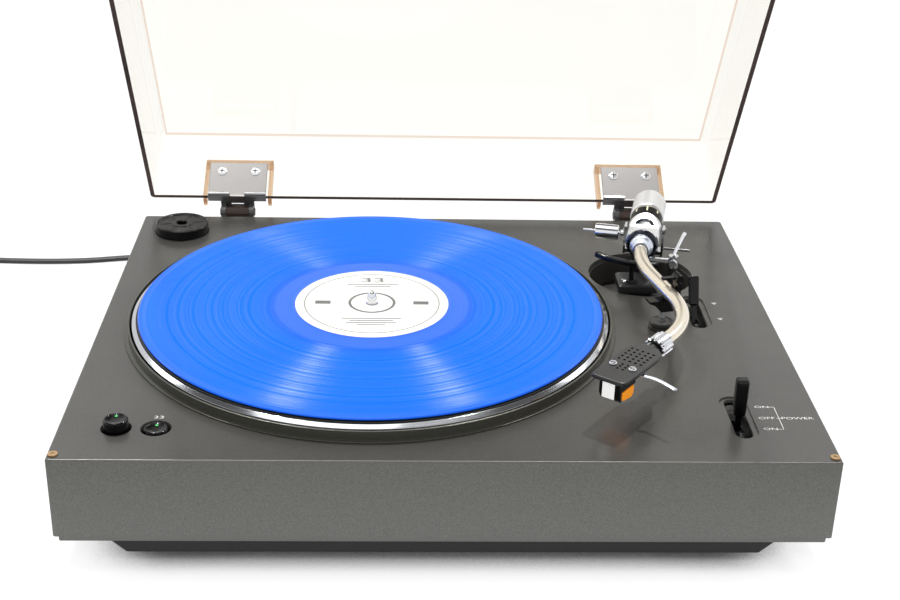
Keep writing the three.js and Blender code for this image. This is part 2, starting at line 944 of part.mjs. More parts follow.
// Motor: a can under its mounting plate, with a boss and a shaft that ends in the pulley
function motorBody() {
  const plateTop = -wellFloorDepth - wellWall - restGap;
  const top = plateTop - motorPlateThickness;
  const shaftTop = -pulleyMiddle - pulleyHeight / 2 - seatGap;
  const bossTop = plateTop + motorBossHeight;
  const can = turned([
    [0, top - motorHeight],
    [motorRadius - motorBossHeight, top - motorHeight],
    [motorRadius, top - motorHeight + motorBossHeight],
    [motorRadius, top],
    [motorBossRadius, top],
    [motorBossRadius, bossTop],
    [motorShaftRadius, bossTop],
    [motorShaftRadius, shaftTop],
    [0, shaftTop],
  ], smallSides);
  const outline = roundedRectangle(motorPlateSide, motorPlateSide, motorCornerRadius);
  return join(can, prism(outline, motorPlateThickness + seatGap, top - seatGap));
}

// Crowned pulley between two flanges
function motorPulley() {
  const low = -pulleyMiddle - pulleyHeight / 2;
  const high = low + pulleyHeight;
  const rim = pulleyRadius + pulleyFlange;
  return turned([
    [0, low],
    [rim, low],
    [rim, low + pulleyFlangeThickness],
    [pulleyRadius - pulleyCrown, low + pulleyFlangeThickness],
    [pulleyRadius, -pulleyMiddle],
    [pulleyRadius - pulleyCrown, high - pulleyFlangeThickness],
    [rim, high - pulleyFlangeThickness],
    [rim, high],
    [0, high],
  ], smallSides);
}

// Path of the belt round the ring and the pulley, with the pulley towards +X
function beltOutline(ringSide, pulleySide) {
  const points = [];
  const lean = Math.asin((ringSide - pulleySide) / motorReach);
  const arc = (centre, radius, from, to, steps) => {
    for (let i = 0; i <= steps; i += 1) {
      const angle = from + ((to - from) * i) / steps;
      points.push(new THREE.Vector2(centre + radius * Math.cos(angle), radius * Math.sin(angle)));
    }
  };
  const touch = quarterTurn - lean;
  arc(0, ringSide, touch, fullTurn - touch, bigSides);
  arc(motorReach, pulleySide, -touch, touch, smallSides);
  return points;
}

function driveBelt() {
  const low = -pulleyMiddle - beltWidth / 2;
  const outer = beltOutline(beltRingRadius + seatGap + beltThickness, pulleyRadius + seatGap + beltThickness);
  const inner = beltOutline(beltRingRadius + seatGap, pulleyRadius + seatGap);
  const loop = cut(prism(outer, beltWidth, low), prism(inner, beltWidth + 2 * overrun, low - overrun));
  return loop.rotateZ(radians(motorBearing));
}

// Push button: a dished cap on a stem, with its top at height zero
function speedButton() {
  return turned([
    [0, -buttonLength],
    [buttonStemRadius, -buttonLength],
    [buttonStemRadius, -buttonCapHeight],
    [buttonRadius, -buttonCapHeight],
    [buttonRadius, -buttonCapBevel],
    [buttonRadius - buttonCapBevel, 0],
    [buttonDishRadius, 0],
    [buttonDishRadius - buttonCapDish, -buttonCapDish],
    [0, -buttonCapDish],
  ], smallSides);
}

// Rocker that lifts one button when the other goes down, about its own pin
function buttonRocker() {
  const reach = buttonSpacing / 2 + rockerOverhang;
  const arm = box(2 * reach, rockerWidth, rockerThickness, 0, 0, -rockerThickness / 2);
  const hub = rod(rockerHubRadius, rockerWidth, 0, 0, -rockerWidth / 2).rotateX(quarterTurn);
  const through = rockerWidth + overrun;
  const bore = rod(rockerPinRadius + seatGap, through, 0, 0, -through / 2, pinSides);
  return cut(join(arm, hub), bore.rotateX(quarterTurn));
}

function rockerPinHeight() {
  const middleStem = buttonRaised - buttonTravel / 2 - buttonLength;
  return middleStem - rockerThickness / 2 - rockerClearance;
}

function rockerTilt() {
  return Math.atan(buttonTravel / buttonSpacing);
}

// Speed switch below the buttons, hung from the plinth top by two posts
function speedSwitch() {
  const pinZ = rockerPinHeight();
  const top = -switchDrop + switchHeight;
  const block = box(switchWidth, switchDepth, switchHeight, 0, 0, -switchDrop);
  const posts = [-1, 1].map((side) => box(
    switchPost, switchDepth, -plinthTopThickness - seatGap - top + restGap, side * (switchWidth - switchPost) / 2, 0,
    top - restGap,
  ));
  const earY = rockerWidth / 2 + seatGap + switchEar / 2;
  const ears = [-1, 1].map((side) => box(
    rockerHubRadius * 2, switchEar, pinZ + rockerHubRadius - top + restGap, 0, side * earY, top - restGap,
  ));
  const pinLength = rockerWidth + 2 * seatGap + switchEar;
  const pin = rod(rockerPinRadius, pinLength, 0, 0, -pinLength / 2, pinSides).rotateX(quarterTurn);
  return join(block, ...posts, ...ears, pin.translate(0, 0, pinZ));
}

// Flat paddle with softened edges, standing on height z
function paddle(width, thickness, height, bevel, z) {
  const outline = (inset) => roundedRectangle(width - 2 * inset, thickness - 2 * inset, bevel / 2);
  return loft([
    { outline: outline(bevel / 2), z },
    { outline: outline(0), z: z + bevel },
    { outline: outline(0), z: z + height - bevel },
    { outline: outline(bevel / 2), z: z + height },
  ]);
}

// Lever about a cross pin at the origin: paddle, stem, hub and a short tail
function lever(paddleSizes) {
  const { width, thickness, height, top, bevel } = paddleSizes;
  const paddleBottom = leverPivotDepth + top - height;
  const stem = box(stemWidth, stemThickness, paddleBottom + bevel, 0, 0, 0);
  const tail = box(stemWidth, stemThickness, leverTail, 0, 0, -leverTail);
  const hub = barX(leverHubRadius, leverHubWidth, -leverHubWidth / 2, 0, 0);
  const through = leverHubWidth + overrun;
  const bore = barX(leverPinRadius + seatGap, through, -through / 2, 0, 0, pinSides);
  return cut(join(paddle(width, thickness, height, bevel, paddleBottom), stem, tail, hub), bore);
}

function powerLever() {
  return lever({
    width: powerPaddleWidth, thickness: powerPaddleThickness, height: powerPaddleHeight,
    top: powerPaddleTop, bevel: powerPaddleBevel,
  });
}

function cueLever() {
  const upright = lever({
    width: cuePaddleWidth, thickness: cuePaddleThickness, height: cuePaddleHeight,
    top: cuePaddleTop, bevel: powerPaddleBevel,
  });
  return upright.rotateX(-radians(cueLean));
}

// Bracket for a lever: a curved trough under its slot, two ears with a pin, and a box below
function leverBracket() {
  const boxTop = -bracketDrop + bracketBoxHeight;
  const earX = leverHubWidth / 2 + seatGap + bracketEar / 2;
  const earTop = troughFloor - troughFloorThickness + restGap;
  const ears = [-1, 1].map((side) => box(
    bracketEar, bracketEarDepth, earTop - boxTop + restGap, side * earX, 0, boxTop - restGap,
  ));
  const pinLength = leverHubWidth + 2 * seatGap + bracketEar;
  const pin = barX(leverPinRadius, pinLength, -pinLength / 2, 0, 0, pinSides);
  const body = box(2 * earX + bracketEar, bracketBoxLength, bracketBoxHeight, 0, 0, -bracketDrop);
  return join(body, ...ears, slotTrough(), pin);
}

// Trough that lines a lever slot, with a hollow floor and a slit for the stem
function slotTrough() {
  const top = -plinthTopThickness - seatGap + leverPivotDepth;
  const low = troughFloor - troughFloorThickness;
  const insideWidth = slotWidth - 2 * troughSetback;
  const block = box(slotWidth + 2 * troughWall, slotLength + 2 * troughEnd, top - low, 0, 0, low);
  const centre = troughFloor + troughFloorRadius;
  const roller = barX(troughFloorRadius, 2 * slotWidth, -slotWidth, 0, centre, bigSides * 2);
  const inside = slotPrism(insideWidth, slotLength - 2 * troughSetback, top - low, 0, 0, low + restGap);
  const room = box(2 * slotWidth, 2 * slotLength, top, 0, 0, low);
  const slit = box(troughSlitWidth, troughSlitLength, top, 0, 0, 0);
  const open = box(insideWidth / 2, slotLength / 2, top, 0, 0, top - restGap);
  return cut(block, common(common(roller, room), inside), open, slit);
}

function lidBumper() {
  const plugRadius = bumperRadius - bumperHoleRadius - seatGap;
  return turned([
    [0, -bumperHoleDepth],
    [plugRadius, -bumperHoleDepth],
    [plugRadius, restGap / 2],
    [bumperRadius, restGap / 2],
    [bumperRadius, bumperHeight],
    [bumperHoleRadius, bumperHeight],
    [bumperHoleRadius, bumperHeight - bumperHoleDepth],
    [0, bumperHeight - bumperHoleDepth],
  ], smallSides);
}

// Adapter for large holed singles: dished top with raised radial ribs
function speedAdapter() {
  const body = turnedRing([
    [adapterHoleRadius, 0],
    [adapterRadius, 0],
    [adapterRadius, adapterHeight],
    [adapterDishRadius, adapterHeight],
    [adapterDishRadius, adapterHeight - adapterDishDepth],
    [adapterHubRadius, adapterHeight - adapterDishDepth],
    [adapterHubRadius, adapterHeight],
    [adapterHoleRadius, adapterHeight],
  ], roundSides);
  const spokes = [];
  const reach = adapterDishRadius - adapterHubRadius + 2 * adapterSpokeWidth;
  for (let i = 0; i < adapterSpokes; i += 1) {
    const spoke = box(reach, adapterSpokeWidth, adapterDishDepth, (adapterDishRadius + adapterHubRadius) / 2, 0,
      adapterHeight - adapterDishDepth - restGap);
    spokes.push(spoke.rotateZ((i / adapterSpokes) * fullTurn));
  }
  return join(body, ...spokes);
}

// Black cup that holds the tonearm base
function armWellCup() {
  const flangeTop = -plinthTopThickness - restGap;
  const inner = armWellRadius;
  const outer = armWellRadius + armWellWall / 2;
  return turned([
    [0, -armWellDepth - armWellWall],
    [outer, -armWellDepth - armWellWall],
    [outer, flangeTop - armWellFlangeThickness],
    [inner + armWellFlange, flangeTop - armWellFlangeThickness],
    [inner + armWellFlange, flangeTop],
    [inner - armWellWall / 2, flangeTop],
    [inner - armWellWall / 2, -armWellDepth],
    [0, -armWellDepth],
  ], roundSides);
}

// Tonearm base: a floor disc, the lifter block and the pillar with its bearing bore
function armBase() {
  const floor = -armWellDepth + restGap;
  const discRadius = armWellRadius - armWellWall / 2 - armBaseInset;
  const disc = rod(discRadius, armBaseThickness, armWellX, armWellY, floor, roundSides);
  const blockX = pivotX - blockShift + blockWidth / 2;
  const blockY = pivotY - blockForward + blockDepth / 2;
  const outline = (inset) => roundedRectangle(
    blockWidth - 2 * inset, blockDepth - 2 * inset, blockBevel, blockX, blockY,
  );
  const block = loft([
    { outline: outline(blockStep), z: floor + armBaseThickness / 2 },
    { outline: outline(blockStep), z: seatGap },
    { outline: outline(0), z: seatGap },
    { outline: outline(0), z: blockTop - blockBevel },
    { outline: outline(blockBevel), z: blockTop },
  ]);
  const pillar = rod(pillarRadius, pillarTop - floor, pivotX, pivotY, floor, smallSides);
  const turn = radians(lifterAngle);
  const lifter = armPoint(lifterRadius * Math.cos(turn), -lifterRadius * Math.sin(turn));
  const rise = lifterCollarHeight + blockBevel;
  const collar = rod(lifterCollarRadius, rise, lifter.x, lifter.y, blockTop - blockBevel);
  const stand = biasStand();
  return cut(
    join(disc, block, pillar, collar, stand),
    rod(pillarBoreRadius, pillarBoreDepth + overrun, pivotX, pivotY, pillarTop - pillarBoreDepth),
    rod(lifterShaftRadius + seatGap, blockTop - floor + overrun, lifter.x, lifter.y, floor + armBaseThickness),
  );
}

// Place on the plinth of a point given in the parked arm's own axes
function armPoint(forward, sideways) {
  const angle = radians(parkAngle);
  return new THREE.Vector2(
    pivotX - forward * Math.sin(angle) + sideways * Math.cos(angle),
    pivotY - forward * Math.cos(angle) - sideways * Math.sin(angle),
  );
}

// Post beside the pillar that carries the bias arm
function biasStand() {
  const place = armPoint(biasArmForward, biasArmReach);
  const floor = -armWellDepth + restGap;
  const height = biasArmHeight - biasClampHeight / 2 - seatGap - floor;
  return rod(biasStandRadius, height, place.x, place.y, floor, pinSides);
}

// Bias clamp with its thumb screw and the short bar towards the pivot
function biasBracket() {
  const clamp = rod(biasClampRadius, biasClampHeight, 0, 0, -biasClampHeight / 2);
  const bar = barX(biasArmRadius, biasBarLength, -biasBarLength, 0, 0, pinSides);
  const screw = rod(biasScrewRadius, biasScrewLength + biasClampRadius, 0, 0, 0, pinSides);
  return join(clamp, bar, screw.rotateX(quarterTurn));
}

function biasPost() {
  return rod(biasPostRadius, biasPostHeight, 0, 0, 0, pinSides);
}

// Curved bar that lifts the tube at any playing angle, with its shaft
function liftBar() {
  const points = [];
  const inner = lifterRadius - liftBarThickness / 2;
  const outer = lifterRadius + liftBarThickness / 2;
  const place = (radius, i) => {
    const angle = radians(liftBarLow + ((liftBarHigh - liftBarLow) * i) / liftBarSteps);
    return new THREE.Vector2(-radius * Math.sin(angle), -radius * Math.cos(angle));
  };
  for (let i = 0; i <= liftBarSteps; i += 1) points.push(place(outer, i));
  for (let i = liftBarSteps; i >= 0; i -= 1) points.push(place(inner, i));
  const bar = prism(points, liftBarHeight, liftBarTop - liftBarHeight);
  const angle = radians(lifterAngle);
  const low = -armWellDepth + armBaseThickness + 2 * lifterStroke;
  const shaft = rod(lifterShaftRadius, liftBarTop - liftBarHeight / 2 - low,
    -lifterRadius * Math.sin(angle), -lifterRadius * Math.cos(angle), low, pinSides);
  return join(bar, shaft);
}

// Yoke that swings on the pillar and carries the level pivots
function gimbalYoke() {
  const base = pillarTop + seatGap;
  const half = yokeInner + yokeUprightThickness;
  const top = armHeight + yokeUprightTop;
  const spindle = rod(yokeSpindleRadius, yokeSpindleDepth + yokeBaseThickness, 0, 0, base - yokeSpindleDepth);
  const plate = box(2 * half, yokeBaseWidth, yokeBaseThickness, 0, 0, base);
  const uprights = [-1, 1].map((side) => box(
    yokeUprightThickness, yokeUprightDepth, top - base, side * (yokeInner + yokeUprightThickness / 2),
    -yokeUprightForward, base,
  ));
  const tip = yokeInner - housingRadius - seatGap;
  const screwLength = tip + yokeUprightThickness + pivotScrewHeadLength;
  const screws = [-1, 1].flatMap((side) => [
    barX(pivotScrewRadius, screwLength, -screwLength / 2, 0, 0, pinSides)
      .translate(side * (housingRadius + seatGap + screwLength / 2), 0, armHeight),
    barX(pivotScrewHead, pivotScrewHeadLength, -pivotScrewHeadLength / 2, 0, 0, pinSides)
      .translate(side * (half + pivotScrewHeadLength / 2), 0, armHeight),
  ]);
  return join(spindle, plate, ...uprights, ...screws);
}

// Level bar along the arm: a turned piece with its axis forward, centred on the tube
function alongArm(geometry) {
  return geometry.rotateX(quarterTurn).translate(0, 0, armHeight);
}

// Silver housing with a sloping top that levels out ahead, and a half moon window in the slope
function armHousing() {
  const shell = alongArm(rod(housingRadius, housingLength, 0, 0, housingRear, roundSides));
  const seat = tubeSeat + seatGap;
  const bore = alongArm(rod(tubeRadius + seatGap, seat + overrun, 0, 0, housingFront - seat, smallSides));
  const slope = radians(housingSlope);
  const roof = tubeRadius + seatGap + housingRoof;
  const reach = 2 * housingLength;
  const chop = box(2 * reach, reach, reach, 0, -reach / 2, 0)
    .rotateX(slope).translate(0, -housingRear, armHeight + housingRadius);
  const above = box(2 * reach, 2 * reach, reach, 0, 0, armHeight + roof);
  const half = common(
    rod(windowRadius, 2 * windowDepth, 0, 0, -windowDepth),
    box(4 * windowRadius, windowRadius, 4 * windowDepth, 0, windowRadius / 2, -2 * windowDepth),
  );
  const halfMoon = half.translate(0, -windowFrom - windowRadius, 0)
    .rotateX(slope).translate(0, -housingRear, armHeight + housingRadius);
  return cut(shell, common(chop, above), bore, halfMoon);
}

// Bell: a ring against the housing and a stepped nose round the tube
function armBell() {
  const bore = tubeRadius + seatGap;
  const nose = bellFace + bellNose;
  const step = (bellFace + nose) / 2;
  return alongArm(turnedRing([
    [bore, housingFront + seatGap],
    [bellRadius, housingFront + seatGap],
    [bellRadius, bellFace - bellLip],
    [bellRadius - bellLip, bellFace],
    [bellNoseRadius, bellFace],
    [bellNoseRadius, step - bellLip],
    [bellNoseRadius - bellStep, step],
    [bellNoseRadius - bellStep, nose - bellLip / 2],
    [bore + seatGap, nose],
    [bore, nose],
  ], roundSides));
}

// Centreline of the S shaped tube, seen from above
function tubeCurve() {
  const curve = new THREE.CurvePath();
  const start = new THREE.Vector3(0, tubeSeat - housingFront, armHeight);
  const first = new THREE.Vector3(0, -firstBendAt, armHeight);
  const second = new THREE.Vector3(secondBendOut, -secondBendAt, armHeight);
  const angle = radians(headOffsetAngle);
  const tail = (headCentreAt - secondBendAt) / Math.cos(angle) + lockRear + lockLength / 2;
  const end = new THREE.Vector3(
    second.x - tail * Math.sin(angle), second.y - tail * Math.cos(angle), armHeight,
  );
  const stops = [start];
  for (const [before, corner, after, radius] of [
    [start, first, second, firstBendRadius], [first, second, end, secondBendRadius],
  ]) {
    const back = before.clone().sub(corner).normalize();
    const ahead = after.clone().sub(corner).normalize();
    const setback = radius / Math.tan(back.angleTo(ahead) / 2);
    const from = corner.clone().addScaledVector(back, setback);
    const to = corner.clone().addScaledVector(ahead, setback);
    curve.add(new THREE.LineCurve3(stops[stops.length - 1], from));
    curve.add(new THREE.QuadraticBezierCurve3(from, corner, to));
    stops.push(to);
  }
  curve.add(new THREE.LineCurve3(stops[stops.length - 1], end));
  return curve;
}

function armTube() {
  return sweep(tubeCurve(), circle(tubeRadius, tubeSides), tubeSteps);
}

function forceDial() {
  const rear = housingRear - seatGap;
  return alongArm(turnedRing([
    [dialBoreRadius, rear],
    [dialRadius - dialBevel, rear],
    [dialRadius, rear - dialBevel],
    [dialRadius, rear - dialLength],
    [dialBoreRadius, rear - dialLength],
  ], roundSides));
}

function weightFront() {
  return housingRear - seatGap - dialLength - weightGap;
}

function counterweight() {
  const front = weightFront();
  const rear = front - weightLength;
  const bore = stubRadius + seatGap;
  return alongArm(turnedRing([
    [bore, front],
    [weightRadius - weightBevel, front],
    [weightRadius, front - weightBevel],
    [weightRadius, rear + weightBevel],
    [weightRadius - weightBevel, rear],
    [weightDishRadius, rear],
    [weightDishRadius - weightBevel, rear + weightDish],
    [bore, rear + weightDish],
  ], roundSides));
}

// Threaded stub behind the housing that carries the weight
function counterweightStub() {
  const front = housingRear - seatGap;
  const length = dialLength + weightGap + weightLength + stubOverhang;
  return alongArm(rod(stubRadius, length, 0, 0, front - length, smallSides));
}

// Side rod with its lock nut, running outwards from the record side of the yoke
function sideRod() {
  const start = yokeInner + yokeUprightThickness + seatGap;
  const bar = barX(sideRodRadius, sideRodLength - start, -sideRodLength, 0, 0, pinSides);
  const nut = barX(sideNutRadius, sideNutLength, -start - sideNutLength, 0, 0, pinSides);
  return join(bar, nut);
}

function sideWeight() {
  const bore = sideRodRadius + seatGap;
  const ring = turnedRing([
    [bore, 0],
    [sideWeightFaceRadius, 0],
    [sideWeightRadius, sideWeightRadius - sideWeightFaceRadius],
    [sideWeightRadius, sideWeightLength],
    [bore, sideWeightLength],
  ], smallSides);
  return ring.rotateY(-quarterTurn).translate(-sideWeightFrom, 0, 0);
}

function biasRod() {
  const start = yokeInner + yokeUprightThickness + seatGap;
  return barX(biasRodRadius, biasRodLength - start, start, 0, 0, pinSides);
}

// Grooved disc on the plinth under the arm rest
function restBase() {
  const low = restGap;
  const groove = restBaseHeight / 2;
  return turnedRing([
    [restPostRadius + seatGap, low],
    [restBaseRadius, low],
    [restBaseRadius, groove - restBaseGroove],
    [restBaseRadius - restBaseGroove, groove],
    [restBaseRadius, groove + restBaseGroove],
    [restBaseRadius, restBaseHeight - restBaseGroove],
    [restBaseRadius - restBaseGroove, restBaseHeight],
    [restPostRadius + seatGap, restBaseHeight],
  ], smallSides);
}

function restPost() {
  return rod(restPostRadius, restPostTop - restGap, 0, 0, restGap, smallSides);
}

// Cradle: a chamfered block, a lip under the tube and an upright beside it
function restCradle() {
  const low = restPostTop + seatGap;
  const lipTop = armHeight - tubeRadius - restTubeGap;
  const half = restBlockWidth / 2;
  const profile = [
    [-half + restBlockChamfer, low],
    [half, low],
    [half + restUprightGap + restUprightThickness, low + restBlockChamfer],
    [half + restUprightGap + restUprightThickness, clipAxisHeight() - clipHinge - seatGap],
    [half + restUprightGap, clipAxisHeight() - clipHinge - seatGap],
    [half + restUprightGap, lipTop],
    [-half - restWingReach, lipTop],
    [-half - restWingReach, lipTop - restWingThickness / 2],
    [-half, lipTop - restWingThickness - restWingThickness / 2],
    [-half, low + restBlockChamfer],
  ].map(([x, z]) => new THREE.Vector2(x, z));
  const slab = extruded(profile, restBlockDepth);
  return slab.rotateX(quarterTurn).translate(0, restBlockDepth / 2, 0);
}

function clipAxisHeight() {
  return tubeTop + clipTubeRise + clipThickness / 2;
}

// Clip over the tube, about its hinge at the origin
function restClip() {
  const knuckle = rod(clipHinge, restBlockDepth, 0, 0, -restBlockDepth / 2, pinSides).rotateX(quarterTurn);
  const band = box(clipReach, clipWidth, clipThickness, -clipReach / 2, 0, -clipThickness / 2);
  return join(knuckle, band);
}

// Fluted locking collar
function lockingCollar() {
  const points = [];
  const count = lockFlutes * 4;
  for (let i = 0; i < count; i += 1) {
    const radius = i % 4 < 2 ? lockRadius : lockRadius - lockFluteDepth;
    const angle = (i / count) * fullTurn;
    points.push(new THREE.Vector2(radius * Math.cos(angle), radius * Math.sin(angle)));
  }
  const flutes = prism(points, lockLength, 0);
  const bore = rod(tubeRadius + lockBoreGap, lockLength + overrun, 0, 0, -overrun / 2);
  return cut(flutes, bore).rotateX(quarterTurn).translate(0, -lockRear, 0);
}

// Half outline of the headshell from above, mirrored to a whole
function shellOutline(inset) {
  const half = [
    [shellRear + inset, shellRearHalfWidth - inset],
    [shellShoulder, shellHalfWidth - inset],
    [shellFront - shellFrontCorner - inset, shellHalfWidth - inset],
    [shellFront - inset, shellHalfWidth - shellFrontCorner - inset],
  ];
  const right = half.map(([forward, side]) => new THREE.Vector2(side, -forward));
  const left = half.map(([forward, side]) => new THREE.Vector2(-side, -forward)).reverse();
  return [...right, ...left];
}

// Headshell: a thin perforated plate that thickens towards its socket
function headshell() {
  const top = shellTop;
  const plate = loft([
    { outline: shellOutline(shellFrontCorner / 2), z: top - shellThickness },
    { outline: shellOutline(0), z: top - shellThickness / 2 },
    { outline: shellOutline(shellFrontCorner / 2), z: top },
  ]);
  const heel = loft([
    {
      outline: roundedRectangle(shellRearHalfWidth * 2, shellThickEnd - shellRear - shellShoulder / 4,
        shellFrontCorner, 0, -(shellRear + shellThickEnd) / 2),
      z: top - shellRearThickness,
    },
    {
      outline: roundedRectangle(shellRearHalfWidth * 2 + shellFrontCorner, shellThickEnd - shellRear,
        shellFrontCorner, 0, -(shellRear + shellThickEnd) / 2 - restGap),
      z: top - shellThickness / 2,
    },
  ]);
  const plug = rod(shellPlugRadius, shellPlugLength + shellPlugRadius, 0, 0, shellRear - shellPlugLength)
    .rotateX(quarterTurn);
  const holes = [];
  for (let row = 0; row < shellHoleRows; row += 1) {
    for (let column = 0; column < shellHoleColumns; column += 1) {
      const side = (column - (shellHoleColumns - 1) / 2) * shellHolePitch;
      const forward = shellThickEnd - shellHoleRadius + shellHolePitch / 2 + row * (shellHolePitch - shellHoleRadius);
      holes.push(rod(shellHoleRadius, shellThickness + overrun, side, -forward,
        top - shellThickness - overrun / 2, holeSides));
    }
  }
  const slots = [-1, 1].map((side) => slotPrism(
    shellSlotWidth, shellSlotLength, shellThickness + overrun, side * shellSlotSpacing / 2, -shellSlotAt,
    top - shellThickness - overrun / 2,
  ));
  return cut(join(plate, heel, plug), ...holes, ...slots);
}

// Finger lift: a thin strip that bows outwards and down to a turned up tip
function fingerLift() {
  const side = shellHalfWidth + seatGap;
  const z = shellTop - shellThickness - fingerThickness / 2 - seatGap;
  const curve = new THREE.CatmullRomCurve3([
    new THREE.Vector3(side - shellFrontCorner * 2, -fingerAt, z),
    new THREE.Vector3(side + fingerReach / 4, -fingerAt + fingerSweep, z),
    new THREE.Vector3(side + fingerReach / 2, -fingerAt + fingerSweep / 2, z - fingerDrop / 4),
    new THREE.Vector3(side + fingerReach, -fingerAt - fingerSweep * 2, z - fingerDrop),
  ]);
  const outline = roundedRectangle(fingerWidth, fingerThickness, fingerThickness / 3, 0, 0, 1);
  return sweep(curve, outline.map((point) => new THREE.Vector2(point.y, point.x)), fingerSteps);
}

// Cartridge body with a front plate
function cartridge() {
  const top = shellTop - shellThickness - seatGap;
  const low = top - cartridgeHeight;
  const half = cartridgeWidth / 2;
  const profile = [
    [cartridgeRear, top],
    [cartridgeRear, low + stylusRise + seatGap],
    [stylusFront + seatGap, low + stylusRise + seatGap],
    [stylusFront + seatGap, low],
    [cartridgeFront - cartridgeNose, low],
    [cartridgeFront, top - shellThickness],
    [cartridgeFront, top],
  ].map(([forward, z]) => new THREE.Vector2(forward, z));
  const body = extruded(profile, cartridgeWidth);
  return body.rotateX(quarterTurn).rotateZ(-quarterTurn).translate(half, 0, 0);
}

// Stylus holder with its cantilever and tip
function stylusAssembly() {
  const top = shellTop - shellThickness - seatGap - cartridgeHeight + stylusRise;
  const low = top - stylusRise;
  const half = stylusWidth / 2;
  const profile = [
    [stylusRear, top],
    [stylusRear, low + stylusWall],
    [stylusRear + stylusNose, low - stylusWall],
    [stylusFront - stylusNose, low],
    [stylusFront, low + stylusNose],
    [stylusFront, top],
  ].map(([forward, z]) => new THREE.Vector2(forward, z));
  const holder = extruded(profile, stylusWidth);
  holder.rotateX(quarterTurn).rotateZ(-quarterTurn).translate(half, 0, 0);
  const tip = recordTop + stylusClearance - armHeight;
  const needle = rod(cantileverRadius, low - tip + stylusWall, 0, -stylusTipAt, tip, pinSides);
  return join(holder, needle);
}

// Lid: a drafted five sided box with rounded edges and two hinge pockets
function lidOutline(inset, drawn) {
  const width = lidWidth - 2 * (inset + drawn);
  const depth = lidDepth - 2 * (inset + drawn);
  return roundedRectangle(width, depth, lidCorner - inset, 0, -lidRearOffset - lidDepth / 2, 3);
}

function dustCover() {
  const rim = lidRimRise;
  const top = rim + lidHeight;
  const drawnAt = (z) => (lidDraft * (z - rim)) / lidHeight;
  const outer = loft([
    { outline: lidOutline(0, 0), z: rim },
    { outline: lidOutline(0, drawnAt(top - lidTopRound)), z: top - lidTopRound },
    { outline: lidOutline(lidTopRound / 3, drawnAt(top)), z: top - lidTopRound / 3 },
    { outline: lidOutline(lidTopRound, drawnAt(top)), z: top },
  ]);
  const inner = loft([
    { outline: lidOutline(lidWall, 0), z: rim - overrun },
    { outline: lidOutline(lidWall, drawnAt(top - lidWall - lidTopRound)), z: top - lidWall - lidTopRound },
    { outline: lidOutline(lidWall + lidTopRound / 2, drawnAt(top - lidWall)), z: top - lidWall },
  ]);
  const pockets = [-1, 1].flatMap((side) => pocketRibs(side * hingeX));
  return join(cut(outer, inner), ...pockets);
}

// Three ribs behind the rear wall that frame a hinge
function pocketRibs(x) {
  const rearY = -lidRearOffset;
  const root = pocketRoot;
  const depth = pocketDepth + root;
  const y = rearY + pocketDepth - depth / 2;
  const height = pocketHeight + pocketProng;
  const sides = [-1, 1].map((side) => box(
    pocketWall, depth, height, x + side * (pocketWidth - pocketWall) / 2, y, lidRimRise,
  ));
  const prongs = [-1, 1].map((side) => box(
    pocketWall, pocketDepth - seatGap, pocketProng + restGap, x + side * (pocketWidth - pocketWall) / 2,
    rearY + (pocketDepth + seatGap) / 2, lidRimRise - pocketProng,
  ));
  const cross = box(pocketWidth, depth, pocketWall, x, y, lidRimRise + pocketHeight);
  const kept = box(plinthWidth, plinthDepth, height - pocketProng + pocketWall, 0, 0, lidRimRise);
  return [...sides.map((rib) => common(rib, kept)), ...prongs, cross];
}

// Hinge leaf: a plate inside the rear wall, rolled under the rim, with two ears and the pin
function hingeLeaf() {
  const inside = -lidRearOffset - lidWall - seatGap;
  const rollTop = lidRimRise - leafRollGap;
  const rollBottom = rollTop - leafThickness;
  const outline = (drawn) => roundedRectangle(
    leafWidth, leafThickness, leafThickness / 4, 0, inside - leafThickness / 2 - drawn, 1,
  );
  const plate = loft([
    { outline: outline(0), z: rollBottom },
    { outline: outline(0), z: lidRimRise },
    { outline: outline((lidDraft * leafHeight) / lidHeight), z: lidRimRise + leafHeight },
  ]);
  const tongueFront = inside - leafThickness;
  const shelf = box(leafWidth, lidWall + 2 * seatGap + 2 * leafThickness, leafThickness, 0,
    tongueFront + (lidWall + 2 * seatGap + 2 * leafThickness) / 2, rollBottom);
  const outerEdge = tongueFront + lidWall + 2 * seatGap + 2 * leafThickness;
  const tongue = box(leafTongueWidth, -outerEdge + leafThickness, leafThickness, 0,
    (outerEdge - leafThickness) / 2, rollBottom);
  const earX = barrelWidth / 2 + seatGap + earThickness / 2;
  const ears = [-1, 1].flatMap((side) => [
    barX(earRadius, earThickness, side * earX - earThickness / 2, 0, 0),
    box(earThickness, earRadius, rollBottom + leafThickness, side * earX, -earRadius / 2, 0),
  ]);
  const pinLength = barrelWidth + 2 * (seatGap + earThickness + hingePinHead);
  const pin = barX(hingePinRadius, pinLength, -pinLength / 2, 0, 0, pinSides);
  const heads = [-1, 1].map((side) => barX(
    hingePinHeadRadius, hingePinHead, side * (pinLength - hingePinHead) / 2 - hingePinHead / 2, 0, 0, pinSides,
  ));
  const space = barrelWidth + 2 * seatGap;
  const barrelSpace = barX(barrelRadius + seatGap, space, -space / 2, 0, 0);
  const notchLow = rollBottom - leafThickness;
  const notch = box(leafNotchWidth, leafThickness * 2, leafThickness * 4, 0, -barrelRadius, notchLow);
  const sheet = cut(join(plate, shelf, tongue, ...ears), barrelSpace, notch);
  return join(sheet, pin, ...heads);
}

